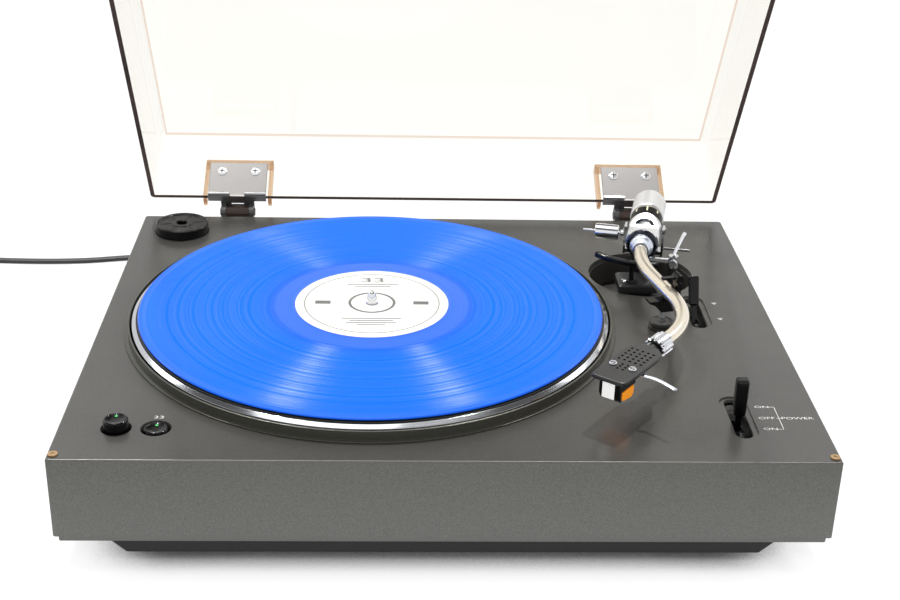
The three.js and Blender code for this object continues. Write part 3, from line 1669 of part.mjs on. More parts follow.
// Hinge bracket on the back of the plinth: plate, web and bored barrel
function hingeBracket() {
  const rearFace = plinthDepth - hingeY + seatGap;
  const plate = box(bracketPlateWidth, bracketPlateThickness, bracketPlateHeight, 0,
    rearFace + bracketPlateThickness / 2, -bracketPlateTop - bracketPlateHeight);
  const webTop = -barrelRadius / 4;
  const web = box(barrelWidth, -rearFace, bracketWebHeight, 0, rearFace / 2, webTop - bracketWebHeight);
  const gusset = box(barrelWidth, bracketPlateThickness, bracketPlateTop, 0,
    rearFace + bracketPlateThickness / 2, -bracketPlateTop - restGap);
  const barrel = barX(barrelRadius, barrelWidth, -barrelWidth / 2, 0, 0);
  const through = barrelWidth + overrun;
  const bore = barX(hingePinRadius + seatGap, through, -through / 2, 0, 0, pinSides);
  return cut(join(plate, web, gusset, barrel), bore);
}

// Strain relief in the rear wall: a flange and a ringed taper round a flat hole for the lead
function cordGland() {
  const points = [[glandRadius, -plinthWall + seatGap], [glandRadius, restGap], [glandFlangeRadius, restGap],
    [glandFlangeRadius, glandFlangeThickness]];
  const span = glandLength - glandFlangeThickness;
  for (let i = 0; i < glandRings; i += 1) {
    const z = glandFlangeThickness + (span * i) / glandRings;
    const radius = glandRadius + ((glandTipRadius - glandRadius) * i) / glandRings;
    points.push([radius, z], [radius, z + span / glandRings / 2], [radius - seatGap, z + span / glandRings / 2]);
  }
  points.push([glandTipRadius - seatGap, glandLength]);
  const body = turned([[0, -plinthWall + seatGap], ...points, [0, glandLength]], pinSides);
  return body.rotateX(-quarterTurn);
}

// Route of the free lead from the gland back, down and away to the left, in [x, y, z]
function cordRoute() {
  const top = plinthTop + glandZ;
  const low = cordThickness / 2;
  const rear = plinthDepth + glandLength + seatGap;
  const falling = leadFall.map(([left, back, drop]) => [glandX - left, rear + back, top - drop]);
  const landing = leadLanding.map(([left, back, rise]) => [glandX - left, rear + back, low + rise]);
  const along = leadAlong.map(([x, y]) => [x, y, low]);
  return [...falling, ...landing, ...along, [coilX + coilJoinGap, coilY + coilOuter, low]];
}

// Points along the coil: in on the lower layer, up, out on the upper layer, and a short straight tail
function coilPoints() {
  const points = [];
  const low = cordThickness / 2;
  const inside = coilInTurns + coilClimbTurns;
  const turns = inside + coilOutTurns;
  const count = Math.round(turns * coilStepsPerTurn);
  for (let i = 0; i <= count; i += 1) {
    const turn = (turns * i) / count;
    const inward = Math.min(turn, inside);
    const outward = Math.max(0, turn - inside);
    const radius = coilOuter - coilPitch * (inward - outward - Math.min(outward, 1));
    const climb = THREE.MathUtils.smoothstep(turn, coilInTurns, inside);
    const angle = quarterTurn + fullTurn * turn;
    points.push(new THREE.Vector3(
      coilX + radius * Math.cos(angle), coilY + radius * Math.sin(angle), low + coilLayerRise * climb,
    ));
  }
  const end = points[points.length - 1];
  for (let i = 1; i <= coilTailSteps; i += 1) {
    points.push(end.clone().add(new THREE.Vector3(0, (-coilTail * i) / coilTailSteps, 0)));
  }
  return points;
}

// Where the coil's tail ends, at the neck of the plug
function coilEnd() {
  const points = coilPoints();
  return points[points.length - 1];
}

// Flat lead along points: rings of a flattened outline that lies level
function flatTube(points, width, thickness, sides) {
  const rings = points.map((point, i) => {
    const before = points[Math.max(i - 1, 0)];
    const after = points[Math.min(i + 1, points.length - 1)];
    const along = after.clone().sub(before).normalize();
    const across = new THREE.Vector3(-along.y, along.x, 0).normalize();
    const up = along.clone().cross(across).normalize();
    const ring = [];
    for (let k = 0; k < sides; k += 1) {
      const angle = ((k + 0.5) / sides) * fullTurn;
      const reach = 1 / Math.cos(Math.PI / sides);
      ring.push(point.clone()
        .addScaledVector(across, Math.cos(angle) * reach * width / 2)
        .addScaledVector(up, Math.sin(angle) * reach * thickness / 2));
    }
    return ring;
  });
  const positions = [];
  const push = (point) => positions.push(point.x, point.y, point.z);
  for (let r = 0; r + 1 < rings.length; r += 1) {
    for (let k = 0; k < sides; k += 1) {
      const next = (k + 1) % sides;
      [rings[r][k], rings[r][next], rings[r + 1][k]].forEach(push);
      [rings[r][next], rings[r + 1][next], rings[r + 1][k]].forEach(push);
    }
  }
  for (let k = 1; k + 1 < sides; k += 1) {
    [rings[0][0], rings[0][k + 1], rings[0][k]].forEach(push);
    const last = rings[rings.length - 1];
    [last[0], last[k], last[k + 1]].forEach(push);
  }
  const geometry = new THREE.BufferGeometry();
  geometry.setAttribute('position', new THREE.Float32BufferAttribute(positions, 3));
  return geometry;
}

function freeCord() {
  const route = cordRoute().map(([x, y, z]) => new THREE.Vector3(x, y, z));
  const curve = new THREE.CatmullRomCurve3(route, false, 'centripetal');
  return flatTube(curve.getSpacedPoints(cordSteps), cordWidth, cordThickness, cordSides);
}

// Least gap between turns of the coil, measured on its points
function coilGap(points) {
  let least = Infinity;
  for (let i = 0; i < points.length; i += 1) {
    for (let j = i + coilStepsPerTurn / 2; j < points.length; j += 1) {
      const offset = points[j].clone().sub(points[i]);
      const level = Math.hypot(offset.x, offset.y);
      const rise = Math.abs(offset.z);
      const gap = Math.max(level - cordWidth, rise - cordThickness);
      least = Math.min(least, gap);
    }
  }
  return least;
}

function cordCoil() {
  const points = coilPoints();
  console.log(`least gap between coil turns ${coilGap(points).toFixed(2)} mm`);
  return flatTube(points, cordWidth, cordThickness, coilSides);
}

// Flat two pin plug lying on its side, with its neck towards +Y
function mainsPlug() {
  const body = loft([
    { outline: roundedRectangle(plugWidth, plugThickness, plugThickness / 3), z: 0 },
    { outline: roundedRectangle(plugPinSpacing + plugWidth, plugThickness, plugThickness / 3), z: plugLength / 2 },
    { outline: roundedRectangle(plugPinSpacing + plugWidth, plugThickness, plugThickness / 3), z: plugLength },
  ]);
  const neck = loft([
    { outline: roundedRectangle(plugNeck, plugNeckThin, plugNeck / 4), z: -plugNeckLength },
    { outline: roundedRectangle(plugNeckWide, plugNeck, plugNeck / 4), z: restGap },
  ]);
  const pins = [-1, 1].map((side) => rod(plugPinRadius, plugPinLength + restGap,
    side * plugPinSpacing / 2, 0, plugLength - restGap, pinSides));
  return join(body, neck, ...pins).rotateX(quarterTurn);
}

// Group holders
function group(x, y, z) {
  const holder = new THREE.Group();
  holder.position.set(x, y, z);
  return holder;
}

function plinthPieces() {
  const pieces = [
    named('plinth_shell', plinthShell(), materials.plinthPaint),
    named('platter_surround', platterSurround(), materials.plinthPaint, spindleX, spindleY),
    named('base_pan', basePan(), materials.panSteel),
    named('arm_well', armWellCup(), materials.darkPlastic, armWellX, armWellY),
    named('arm_base', armBase(), materials.darkPlastic),
    named('bearing_housing', bearingHousing(), materials.brass, spindleX, spindleY),
    named('motor_body', motorBody(), materials.hingeSteel, motorX, motorY),
    named('motor_pulley', motorPulley(), materials.brass, motorX, motorY),
    named('drive_belt', driveBelt(), materials.rubber, spindleX, spindleY),
    named('lid_bumper_left', lidBumper(), materials.tanRubber, -bumperX, bumperY),
    named('lid_bumper_right', lidBumper(), materials.tanRubber, bumperX, bumperY),
    named('speed_adapter', speedAdapter(), materials.darkPlastic, adapterX, adapterY, -adapterSeatDepth + restGap),
    named('speed_switch', speedSwitch(), materials.darkPlastic, (buttonLeftX + buttonRightX) / 2, buttonY),
    named('power_switch', leverBracket(), materials.panSteel, slotX, powerSlotY, -leverPivotDepth),
    named('cue_bracket', leverBracket(), materials.panSteel, slotX, cueSlotY, -leverPivotDepth),
    named('power_lever', powerLever(), materials.glossBlack, slotX, powerSlotY, -leverPivotDepth),
    named('cue_lever', cueLever(), materials.glossBlack, slotX, cueSlotY, -leverPivotDepth),
  ];
  return pieces;
}

function footPieces() {
  const z = -plinthTop;
  const rearY = plinthDepth - footRearInset;
  const x = plinthWidth / 2 - footInsetX;
  return [
    named('foot_front_left', foot(), materials.rubber, -x, footFrontInset, z),
    named('foot_front_right', foot(), materials.rubber, x, footFrontInset, z),
    named('foot_rear_left', foot(), materials.rubber, -x, rearY, z),
    named('foot_rear_right', foot(), materials.rubber, x, rearY, z),
  ];
}

function buttonPieces() {
  const rocker = named('button_rocker', buttonRocker(), materials.satinSilver,
    (buttonLeftX + buttonRightX) / 2, buttonY, rockerPinHeight());
  rocker.rotation.y = rockerTilt();
  return [
    named('speed_button_left', speedButton(), materials.glossBlack, buttonLeftX, buttonY, buttonRaised),
    named('speed_button_right', speedButton(), materials.glossBlack, buttonRightX, buttonY,
      buttonRaised - buttonTravel),
    rocker,
  ];
}

function platterPieces() {
  const spin = group(spindleX, spindleY, 0);
  spin.add(
    named('platter', platter(), materials.castAluminium),
    named('platter_mat', platterMat(), materials.rubber),
    named('spindle_shaft', spindleShaft(), materials.chrome),
    named('record', recordDisc(), materials.blueVinyl),
    named('record_label', recordLabel(), materials.creamPaper),
  );
  return spin;
}

// Pieces that hang on the level pivots, in the arm's own axes
function armPieces() {
  const arm = group(pivotX, pivotY, 0);
  arm.rotation.z = -radians(parkAngle);
  const head = group(headOut, -headCentreAt, armHeight);
  head.rotation.z = -radians(headOffsetAngle);
  head.add(
    named('locking_collar', lockingCollar(), materials.chrome),
    named('headshell', headshell(), materials.darkPlastic),
    named('finger_lift', fingerLift(), materials.chrome),
    named('cartridge', cartridge(), materials.glossBlack),
    named('stylus_assembly', stylusAssembly(), materials.orangePlastic),
  );
  arm.add(
    named('lift_bar', liftBar(), materials.glossBlack),
    named('gimbal_yoke', gimbalYoke(), materials.chrome),
    named('bias_rod', biasRod(), materials.chrome, 0, -biasRodForward, biasRodHeight),
    named('arm_housing', armHousing(), materials.satinSilver),
    named('arm_bell', armBell(), materials.chrome),
    named('arm_tube', armTube(), materials.champagneTube),
    named('force_dial', forceDial(), materials.glossBlack),
    named('counterweight_stub', counterweightStub(), materials.chrome),
    named('counterweight', counterweight(), materials.satinSilver),
    named('side_rod', sideRod(), materials.chrome, 0, -sideRodForward, armHeight - sideRodDrop),
    named('side_weight', sideWeight(), materials.chrome, 0, -sideRodForward, armHeight - sideRodDrop),
    head,
  );
  return arm;
}

function biasPieces() {
  const place = armPoint(biasArmForward, biasArmReach);
  const bracket = named('bias_bracket', biasBracket(), materials.chrome, place.x, place.y, biasArmHeight);
  bracket.rotation.z = -radians(parkAngle);
  const post = named('bias_post', biasPost(), materials.chrome, place.x, place.y,
    biasArmHeight + biasClampHeight / 2 + seatGap + biasPostRadius * Math.sin(radians(biasPostTilt)));
  post.rotation.set(-radians(biasPostTilt) / 2, radians(biasPostTilt), 0);
  return [bracket, post];
}

function restPieces() {
  const place = armPoint(firstBendAt + restAlong, restAlong * Math.tan(radians(firstBendAngle)) - restSetback);
  const rest = group(place.x, place.y, 0);
  rest.rotation.z = radians(firstBendAngle - parkAngle);
  const clipX = restBlockWidth / 2 + restUprightGap + restUprightThickness / 2;
  rest.add(
    named('rest_base', restBase(), materials.darkPlastic),
    named('rest_post', restPost(), materials.chrome),
    named('rest_cradle', restCradle(), materials.glossBlack),
    named('rest_clip', restClip(), materials.glossBlack, clipX, 0, clipAxisHeight()),
  );
  return rest;
}

function lidPieces() {
  const lid = group(0, hingeY, -hingeDrop);
  lid.rotation.x = -radians(lidOpenAngle);
  lid.add(named('dust_cover', dustCover(), materials.clearTint));
  for (const [name, side] of [['left', -1], ['right', 1]]) {
    lid.add(named(`hinge_leaf_${name}`, hingeLeaf(), materials.leafSteel, side * hingeX));
  }
  return lid;
}

function hingeBrackets() {
  return [['left', -1], ['right', 1]].map(([name, side]) => named(
    `hinge_bracket_${name}`, hingeBracket(), materials.hingeSteel, side * hingeX, hingeY, -hingeDrop,
  ));
}

// Everything but the lead, set on the plinth's front edge at the height of its top
function machinePieces() {
  const deck = group(0, 0, plinthTop);
  deck.add(
    ...plinthPieces(), ...footPieces(), ...buttonPieces(), platterPieces(), armPieces(),
    ...biasPieces(), restPieces(), lidPieces(), ...hingeBrackets(),
    named('cord_gland', cordGland(), materials.rubber, glandX, plinthDepth, glandZ),
  );
  return deck;
}

function cordPieces() {
  const lead = group(0, 0, 0);
  const end = coilEnd();
  lead.add(
    named('mains_cord', freeCord(), materials.greyCord),
    named('cord_coil', cordCoil(), materials.greyCord),
    named('mains_plug', mainsPlug(), materials.greyCord, end.x, end.y - seatGap - plugNeckLength, plugThickness / 2),
  );
  return lead;
}

const turntable = new THREE.Group();
const machine = machinePieces();
turntable.add(machine);
turntable.updateMatrixWorld(true);
const footprint = new THREE.Box3().setFromObject(machine, true).getCenter(new THREE.Vector3());
machine.position.y = -footprint.y;
const lead = cordPieces();
lead.position.y = -footprint.y;
turntable.add(lead);

export default turntable;
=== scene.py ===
"""Looks of the turntable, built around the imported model."""
import json
import math

import bmesh
import bpy
from mathutils import Matrix, Vector


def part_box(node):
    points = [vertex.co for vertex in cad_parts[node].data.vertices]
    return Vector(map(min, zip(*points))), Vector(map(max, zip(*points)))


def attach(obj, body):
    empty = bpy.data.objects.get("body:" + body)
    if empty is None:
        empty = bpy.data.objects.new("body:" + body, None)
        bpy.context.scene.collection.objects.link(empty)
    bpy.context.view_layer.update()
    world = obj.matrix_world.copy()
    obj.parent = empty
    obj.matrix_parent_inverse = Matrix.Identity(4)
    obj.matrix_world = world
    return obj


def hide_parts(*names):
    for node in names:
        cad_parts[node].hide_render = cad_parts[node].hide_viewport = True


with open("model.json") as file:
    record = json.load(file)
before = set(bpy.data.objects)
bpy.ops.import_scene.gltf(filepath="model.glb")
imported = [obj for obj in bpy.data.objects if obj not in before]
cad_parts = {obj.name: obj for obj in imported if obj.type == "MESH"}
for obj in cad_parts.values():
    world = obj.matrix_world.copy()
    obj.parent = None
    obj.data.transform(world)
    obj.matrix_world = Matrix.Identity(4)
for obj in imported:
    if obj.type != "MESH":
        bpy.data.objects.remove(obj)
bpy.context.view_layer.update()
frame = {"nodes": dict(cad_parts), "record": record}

# Places shared with the solids, in millimetres from the plinth's front edge and top
MM = 0.001
PLINTH_LOW, PLINTH_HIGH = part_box("plinth_shell")
FRONT = PLINTH_LOW.y / MM
TOP = PLINTH_HIGH.z / MM
PLINTH_WIDTH, PLINTH_DEPTH, PLINTH_HEIGHT = 440, 350.8, 54.4
SPINDLE = (-45.1, 177.4)
PIVOT = (147.1, 270.4)
ARM_HEIGHT = 26.4
PARK_ANGLE = 12.8
HEAD_ANGLE = 24.5
FIRST_BEND = 58.7
FIRST_ANGLE = 27.1
SECOND_BEND = 138.6
BEND_RADII = (95, 70)
HEAD_AT = 182.7
SECOND_OUT = (SECOND_BEND - FIRST_BEND) * math.tan(math.radians(FIRST_ANGLE))
HEAD_OUT = SECOND_OUT - (HEAD_AT - SECOND_BEND) * math.tan(math.radians(HEAD_ANGLE))
REST = (144.3, 166.6)
LID_PIVOT = (363.8, -1.5)
LID_OPEN = 60
HINGE_X = 151.6
GLAND_X, GLAND_Z = -118, -47.6
SIDES = (("left", -1), ("right", 1))
# Facets round a full turn
ROUND, FINE, MEDIUM, PLAIN, SMALL, TINY = 144, 96, 72, 48, 32, 12
# Rounding of edges that only cut, or that are too thin to show one
SHARP = 0.01
ON_AXIS = 1e-6


def turn(angle, axis):
    return Matrix.Rotation(math.radians(angle), 4, axis)


def shift(x, y, z=0):
    return Matrix.Translation((x, y, z))


GROUND = Matrix.Translation((0, FRONT * MM, 0)) @ Matrix.Scale(MM, 4)
DECK = Matrix.Translation((0, FRONT * MM, TOP * MM)) @ Matrix.Scale(MM, 4)
PLATTER = DECK @ shift(*SPINDLE)
ARM = DECK @ shift(*PIVOT) @ turn(-PARK_ANGLE, "Z")
ALONG = ARM @ shift(0, 0, ARM_HEIGHT) @ turn(90, "X")
HEAD = ARM @ shift(HEAD_OUT, -HEAD_AT, ARM_HEIGHT) @ turn(-HEAD_ANGLE, "Z")
LID = DECK @ shift(0, *LID_PIVOT) @ turn(-LID_OPEN, "X")
REST_AT = DECK @ shift(*REST) @ turn(FIRST_ANGLE - PARK_ANGLE, "Z")


def shown(name, data):
    """An object of this data, in the scene."""
    thing = bpy.data.objects.new(name, data)
    bpy.context.scene.collection.objects.link(thing)
    return thing


# Camera and light

CAMERA_AT = (-29.01, -686.42, 426.17)
CAMERA_YAW = 0.0404
CAMERA_PITCH = 0.4452
CAMERA_ROLL = 0.0256
FOCAL_PIXELS = 1463.54
PICTURE_WIDTH = 900


def add_camera():
    data = bpy.data.cameras.new("camera")
    data.sensor_width = 36
    data.lens = data.sensor_width * FOCAL_PIXELS / PICTURE_WIDTH
    data.clip_start = 0.01
    camera = shown("camera", data)
    yaw = Matrix.Rotation(-CAMERA_YAW, 4, "Z")
    pitch = Matrix.Rotation(math.pi / 2 - CAMERA_PITCH, 4, "X")
    roll = Matrix.Rotation(CAMERA_ROLL, 4, "Z")
    camera.matrix_world = Matrix.Translation(DECK @ Vector(CAMERA_AT)) @ yaw @ pitch @ roll
    bpy.context.scene.camera = camera


# Each lamp: place and aim in metres, shape, size and power
DECK_MIDDLE = (-0.05, 0, 0.08)
LAMPS = {
    "overhead": ((-0.3, 0.1, 1.9), (0, 0, 0.1), "RECTANGLE", 1.3, 9),
    "left": ((-1.5, 0.9, 1.3), DECK_MIDDLE, "RECTANGLE", 0.5, 4),
    "right": ((1.4, 1.0, 1.4), DECK_MIDDLE, "RECTANGLE", 0.5, 4),
    "spot_left": ((-0.525, 0.843, 1.774), DECK_MIDDLE, "DISK", 0.1, 8),
    "spot_right": ((0.4, 0.843, 1.774), DECK_MIDDLE, "DISK", 0.1, 8),
    "glint_left": ((-0.525, 0.843, 1.78), DECK_MIDDLE, "DISK", 0.06, 26),
    "glint_right": ((0.4, 0.843, 1.78), DECK_MIDDLE, "DISK", 0.06, 26),
}


def add_lamps():
    """The lamps, of which the glints only show in what mirrors them."""
    for name, (place, target, shape, size, power) in LAMPS.items():
        data = bpy.data.lights.new(name, "AREA")
        data.shape = shape
        data.size = data.size_y = size
        data.energy = power
        lamp = shown(name, data)
        lamp.location = place
        lamp.rotation_euler = (Vector(target) - Vector(place)).to_track_quat("-Z", "Y").to_euler()
        lamp.visible_diffuse = not name.startswith("glint")


class Net:
    """Short ways to build the node tree of a material or of the world."""

    def __init__(self, tree):
        self.nodes, self.links = tree.nodes, tree.links

    def plug(self, socket, value):
        """Sets a socket to a value, or links it to a node or to a node's output."""
        if isinstance(value, bpy.types.Node):
            value = value.outputs[0]
        if isinstance(value, bpy.types.NodeSocket):
            self.links.new(value, socket)
        else:
            socket.default_value = value

    def fill(self, node, values):
        for name, value in values.items():
            self.plug(node.inputs[name], value)

    def add(self, kind, values={}, **settings):
        node = self.nodes.new("ShaderNode" + kind)
        for name, value in settings.items():
            setattr(node, name, value)
        self.fill(node, values)
        return node

    def math(self, operation, value, *others):
        """The operation on a value and each of the others in turn."""
        for other in others or (0.0,):
            value = self.add("Math", {0: value, 1: other}, operation=operation).outputs[0]
        return value

    def mixed_value(self, factor, first, second):
        return self.add("Mix", {"Factor": factor, "A": first, "B": second}).outputs[0]

    def mixed(self, factor, first, second):
        return self.add("Mix", {"Factor": factor, 6: first, 7: second}, data_type="RGBA").outputs[2]

    def spread(self, value, low, high, from_low=0.3, from_high=0.7):
        """Stretches values between two limits to run from low to high."""
        values = {"Value": value, "From Min": from_low, "From Max": from_high, "To Min": low, "To Max": high}
        return self.add("MapRange", values).outputs[0]

    def stops(self, value, table):
        """Colours by value: table rows are a value from 0 to 1 and a colour."""
        ramp = self.add("ValToRGB", {0: value})
        elements = ramp.color_ramp.elements
        while len(elements) < len(table):
            elements.new(1)
        for element, (at, colour) in zip(elements, table):
            element.position = at
            element.color = colour
        return ramp.outputs["Color"]

    def tones(self, value, table):
        """Grey levels by value, between the rows of a table."""
        return self.stops(value, [(at, (tone,) * 3 + (1,)) for at, tone in table])

    def axes(self, vector):
        return self.add("SeparateXYZ", {0: vector}).outputs

    def place(self):
        return self.add("TexCoord").outputs["Object"]

    def noise(self, scale, detail=2.0):
        """Noise at a scale in cycles per metre."""
        return self.add("TexNoise", {"Scale": scale, "Detail": detail, "Vector": self.place()}).outputs["Fac"]

    def from_spindle(self):
        """Distance from the spindle, in metres, on what turns about it."""
        values = {0: self.place(), 1: PLATTER @ Vector((0, 0, 0))}
        place = self.add("VectorMath", values, operation="SUBTRACT")
        flat = self.add("VectorMath", {0: place, 1: (1, 1, 0)}, operation="MULTIPLY")
        return self.add("VectorMath", {0: flat}, operation="LENGTH").outputs["Value"]

    def rings(self, radius, scale, detail=2.0):
        """Noise that changes with the radius alone."""
        values = {"Scale": scale, "Detail": detail, "W": radius}
        return self.add("TexNoise", values, noise_dimensions="1D").outputs["Fac"]

    def bump(self, shader, height, strength, distance):
        values = {"Strength": strength, "Distance": distance, "Height": height}
        self.plug(shader.inputs["Normal"], self.add("Bump", values))


WORLD_LIGHT = 0.62
MIRRORED_BY_HEIGHT = (
    (0, 1.0), (0.33, 0.95), (0.38, 0.8), (0.43, 0.45), (0.48, 0.2), (0.54, 0.12), (0.86, 0.14), (0.94, 0.8),
)
MIRRORED_BY_SIDE = ((0, 0.0), (0.06, 0.05), (0.12, 0.4), (0.18, 0.85), (0.25, 1.0))


def add_world():
    """White where it is looked at; what shiny things mirror is a backdrop that darkens upwards."""
    world = bpy.data.worlds.new("studio")
    bpy.context.scene.world = world
    world.use_nodes = True
    net = Net(world.node_tree)
    axes = net.axes(net.add("TexCoord").outputs["Generated"])
    by_height = net.tones(axes["Z"], MIRRORED_BY_HEIGHT)
    by_side = net.tones(net.math("ABSOLUTE", axes["X"]), MIRRORED_BY_SIDE)
    low_down = net.spread(axes["Z"], 1.0, 0.12, 0.52, 0.7)
    mirrored = net.math("MAXIMUM", by_height, net.math("MULTIPLY", by_side, low_down))
    path = net.add("LightPath").outputs
    lit = net.mixed_value(path["Is Glossy Ray"], WORLD_LIGHT, mirrored)
    seen = net.math("MAXIMUM", path["Is Camera Ray"], path["Is Transmission Ray"])
    net.fill(net.nodes["Background"], {"Strength": net.mixed_value(seen, lit, 1.0), "Color": (1, 1, 1, 1)})


# The floor's own grey, what it throws back on the object, and its glow close by and behind the lid
FLOOR_SEEN = 0.3
FLOOR_BOUNCE = 0.95
GLOW_NEAR = 0.87
GLOW_FAR = 0.66
SHADOW_REACH = 0.034
SHADOW_TONES = ((0, 0.02), (0.2, 0.04), (0.3, 0.16), (0.325, 0.41), (0.42, 0.64), (0.49, 0.78), (0.63, 1))
FLOOR_SIZE = 12
FLOOR_DROP = 0.0005


def floor_material():
    material, net, shader = new_material("floor")
    net.nodes.remove(shader)
    path = net.add("LightPath").outputs
    grey = net.mixed_value(path["Is Diffuse Ray"], FLOOR_SEEN, FLOOR_BOUNCE)
    plain = net.add("BsdfDiffuse", {"Color": grey})
    near = net.add("AmbientOcclusion", {"Distance": SHADOW_REACH}, samples=8)
    open_share = net.tones(near.outputs["AO"], SHADOW_TONES)
    axes = net.axes(net.place())
    close = net.spread(axes["Y"], GLOW_NEAR, GLOW_FAR, 0.1, 0.4)
    deep = net.spread(axes["Y"], GLOW_FAR, GLOW_NEAR, 1.1, 1.9)
    wide = net.spread(net.math("ABSOLUTE", axes["X"]), GLOW_FAR, GLOW_NEAR, 0.45, 0.75)
    amount = net.math("MAXIMUM", close, deep, wide)
    seen = net.math("MAXIMUM", path["Is Camera Ray"], path["Is Glossy Ray"], path["Is Transmission Ray"])
    glow = net.add("Emission", {"Strength": net.math("MULTIPLY", open_share, amount, seen)})
    net.fill(net.nodes["Material Output"], {"Surface": net.add("AddShader", {0: plain, 1: glow})})
    return material


def add_floor():
    mesh = bpy.data.meshes.new("floor")
    s = FLOOR_SIZE / 2
    mesh.from_pydata([(-s, -s, 0), (s, -s, 0), (s, s, 0), (-s, s, 0)], [], [(0, 1, 2, 3)])
    mesh.materials.append(floor_material())
    floor = shown("floor", mesh)
    floor.location = (0, 0, -FLOOR_DROP)


# Materials

def linear(colour):
    """Linear value of a colour given in 0 to 255 steps as a screen shows it."""
    def one(step):
        share = step / 255
        return share / 12.92 if share <= 0.04045 else ((share + 0.055) / 1.055) ** 2.4
    return tuple(one(step) for step in colour) + (1,)


def new_material(name):
    material = bpy.data.materials.new(name)
    material.use_nodes = True
    net = Net(material.node_tree)
    return material, net, net.nodes["Principled BSDF"]


GRAIN_DEPTH = 0.0002
GROOVE_DEPTH = 0.0001


def finish(name, colour, rough, metal, vary, grain, bump):
    """Plain finish with a slight drift of colour and roughness and an optional fine grain."""
    material, net, shader = new_material(name)
    base = linear(colour)
    dark = tuple(part * (1 - vary) for part in base[:3]) + (1,)
    light = tuple(min(1, part * (1 + vary)) for part in base[:3]) + (1,)
    drift = net.spread(net.noise(grain / 12, 3), 0, 1)
    speck = net.noise(grain)
    net.fill(shader, {
        "Base Color": net.mixed(drift, dark, light),
        "Roughness": net.spread(speck, rough * 0.85, min(1, rough * 1.15)),
        "Metallic": metal,
    })
    if bump:
        net.bump(shader, speck, bump, GRAIN_DEPTH)
    return material


def paint_material():
    """Metallic grey lacquer: glossy on the level top, matt and grainy on the upright sides, which carry a
    painted reflection of the floor that lightens them towards the bottom.
    """
    material, net, shader = new_material("plinth_paint")
    facing = net.axes(net.add("NewGeometry").outputs["True Normal"])
    level = net.spread(facing["Z"], 0, 1, 0.75, 0.95)
    flake = net.noise(2600)
    flakes = net.spread(flake, 0, 1)

    def speckled(dark, light):
        return net.mixed(flakes, linear(dark), linear(light))

    high = speckled((87, 87, 84), (122, 122, 118))
    # Painted reflection of the floor: this lighter grey lightens the upright sides towards the bottom
    low = speckled((101, 101, 98), (138, 138, 135))
    side = net.mixed(net.spread(net.axes(net.place())["Z"], 1, 0, 0.022, 0.07), high, low)
    cloud = net.spread(net.noise(22, 3), 0, 0.25)
    top = net.mixed(cloud, speckled((74, 73, 71), (96, 95, 92)), linear((108, 106, 102)))
    net.fill(shader, {
        "Base Color": net.mixed(level, side, top),
        "Roughness": net.mixed_value(level, 0.62, 0.24),
        "Metallic": 0.35,
        "Specular IOR Level": 0.5,
    })
    net.bump(shader, flake, 0.12, GRAIN_DEPTH)
    return material


# Shares of the record's radius with the blue there, and with the grooves on or off; the lighter blue of the
# smooth ring by the label and of the smooth band near the edge is painted reflection
RECORD_RADIUS = 0.1505
RECORD_BLUES_AND_SHEEN = (
    (0.0, (66, 122, 255)), (0.42, (66, 122, 255)), (0.43, (0, 104, 240)), (0.46, (0, 112, 250)),
    (0.5, (0, 116, 255)), (0.95, (0, 118, 255)), (0.965, (44, 122, 255)), (0.99, (44, 122, 255)),
    (1.0, (2, 96, 240)),
)
RECORD_SHADE = (2, 92, 240)
GROOVED = ((0.0, 0), (0.425, 0), (0.435, 1), (0.968, 1), (0.975, 0), (1.0, 0))


def vinyl_material():
    """Translucent blue record: fine grooves that catch the light along the radius."""
    material, net, shader = new_material("blue_vinyl")
    radius = net.from_spindle()
    share = net.math("DIVIDE", radius, RECORD_RADIUS)
    # Painted reflection: the smooth ring by the label and the smooth band near the edge are painted a lighter
    # blue
    blues_and_sheen = net.stops(share, [(at, linear(colour)) for at, colour in RECORD_BLUES_AND_SHEEN])
    cut = net.tones(share, GROOVED)
    bands = net.spread(net.rings(radius, 900, 3), 0.0, 0.14)
    net.bump(shader, net.math("MULTIPLY", net.rings(radius, 4200), cut), 0.2, GROOVE_DEPTH)
    net.fill(shader, {
        "Base Color": net.mixed(bands, blues_and_sheen, linear(RECORD_SHADE)),
        "Roughness": net.spread(cut, 0.16, 0.24, 0, 1),
        "Anisotropic": net.spread(cut, 0.0, 1.0, 0, 1),
        "Anisotropic Rotation": 0.25,
        "Tangent": net.add("Tangent", direction_type="RADIAL", axis="Z"),
        "Specular IOR Level": net.spread(net.rings(radius, 420), 0.06, 0.36, 0.35, 0.65),
    })
    return material


def platter_material():
    """Turned aluminium with fine rings."""
    material, net, shader = new_material("cast_aluminium")
    bands = net.rings(net.from_spindle(), 2500, 3)
    net.fill(shader, {
        "Base Color": net.mixed(net.spread(bands, 0, 1), linear((176, 178, 182)), linear((206, 208, 212))),
        "Metallic": 1,
        "Roughness": net.spread(bands, 0.1, 0.16),
    })
    return material


def clear_material(name, tint, gloss, rough, opaque, solid):
    """Thin clear plastic: light passes through with a tint, and some is mirrored."""
    material, net, shader = new_material(name)
    net.nodes.remove(shader)
    haze = net.spread(net.noise(25), opaque * 0.92, opaque * 1.08)
    through = net.add("BsdfTransparent", {"Color": linear(tint)})
    body = net.add("BsdfDiffuse", {"Color": linear(solid)})
    inner = net.add("MixShader", {0: haze, 1: through, 2: body})
    mirror = net.add("BsdfGlossy", {"Roughness": rough})
    share = net.math("MULTIPLY", net.add("Fresnel", {"IOR": 1.3}).outputs[0], gloss)
    surface = net.add("MixShader", {0: share, 1: inner, 2: mirror})
    net.fill(net.nodes["Material Output"], {"Surface": surface})
    return material


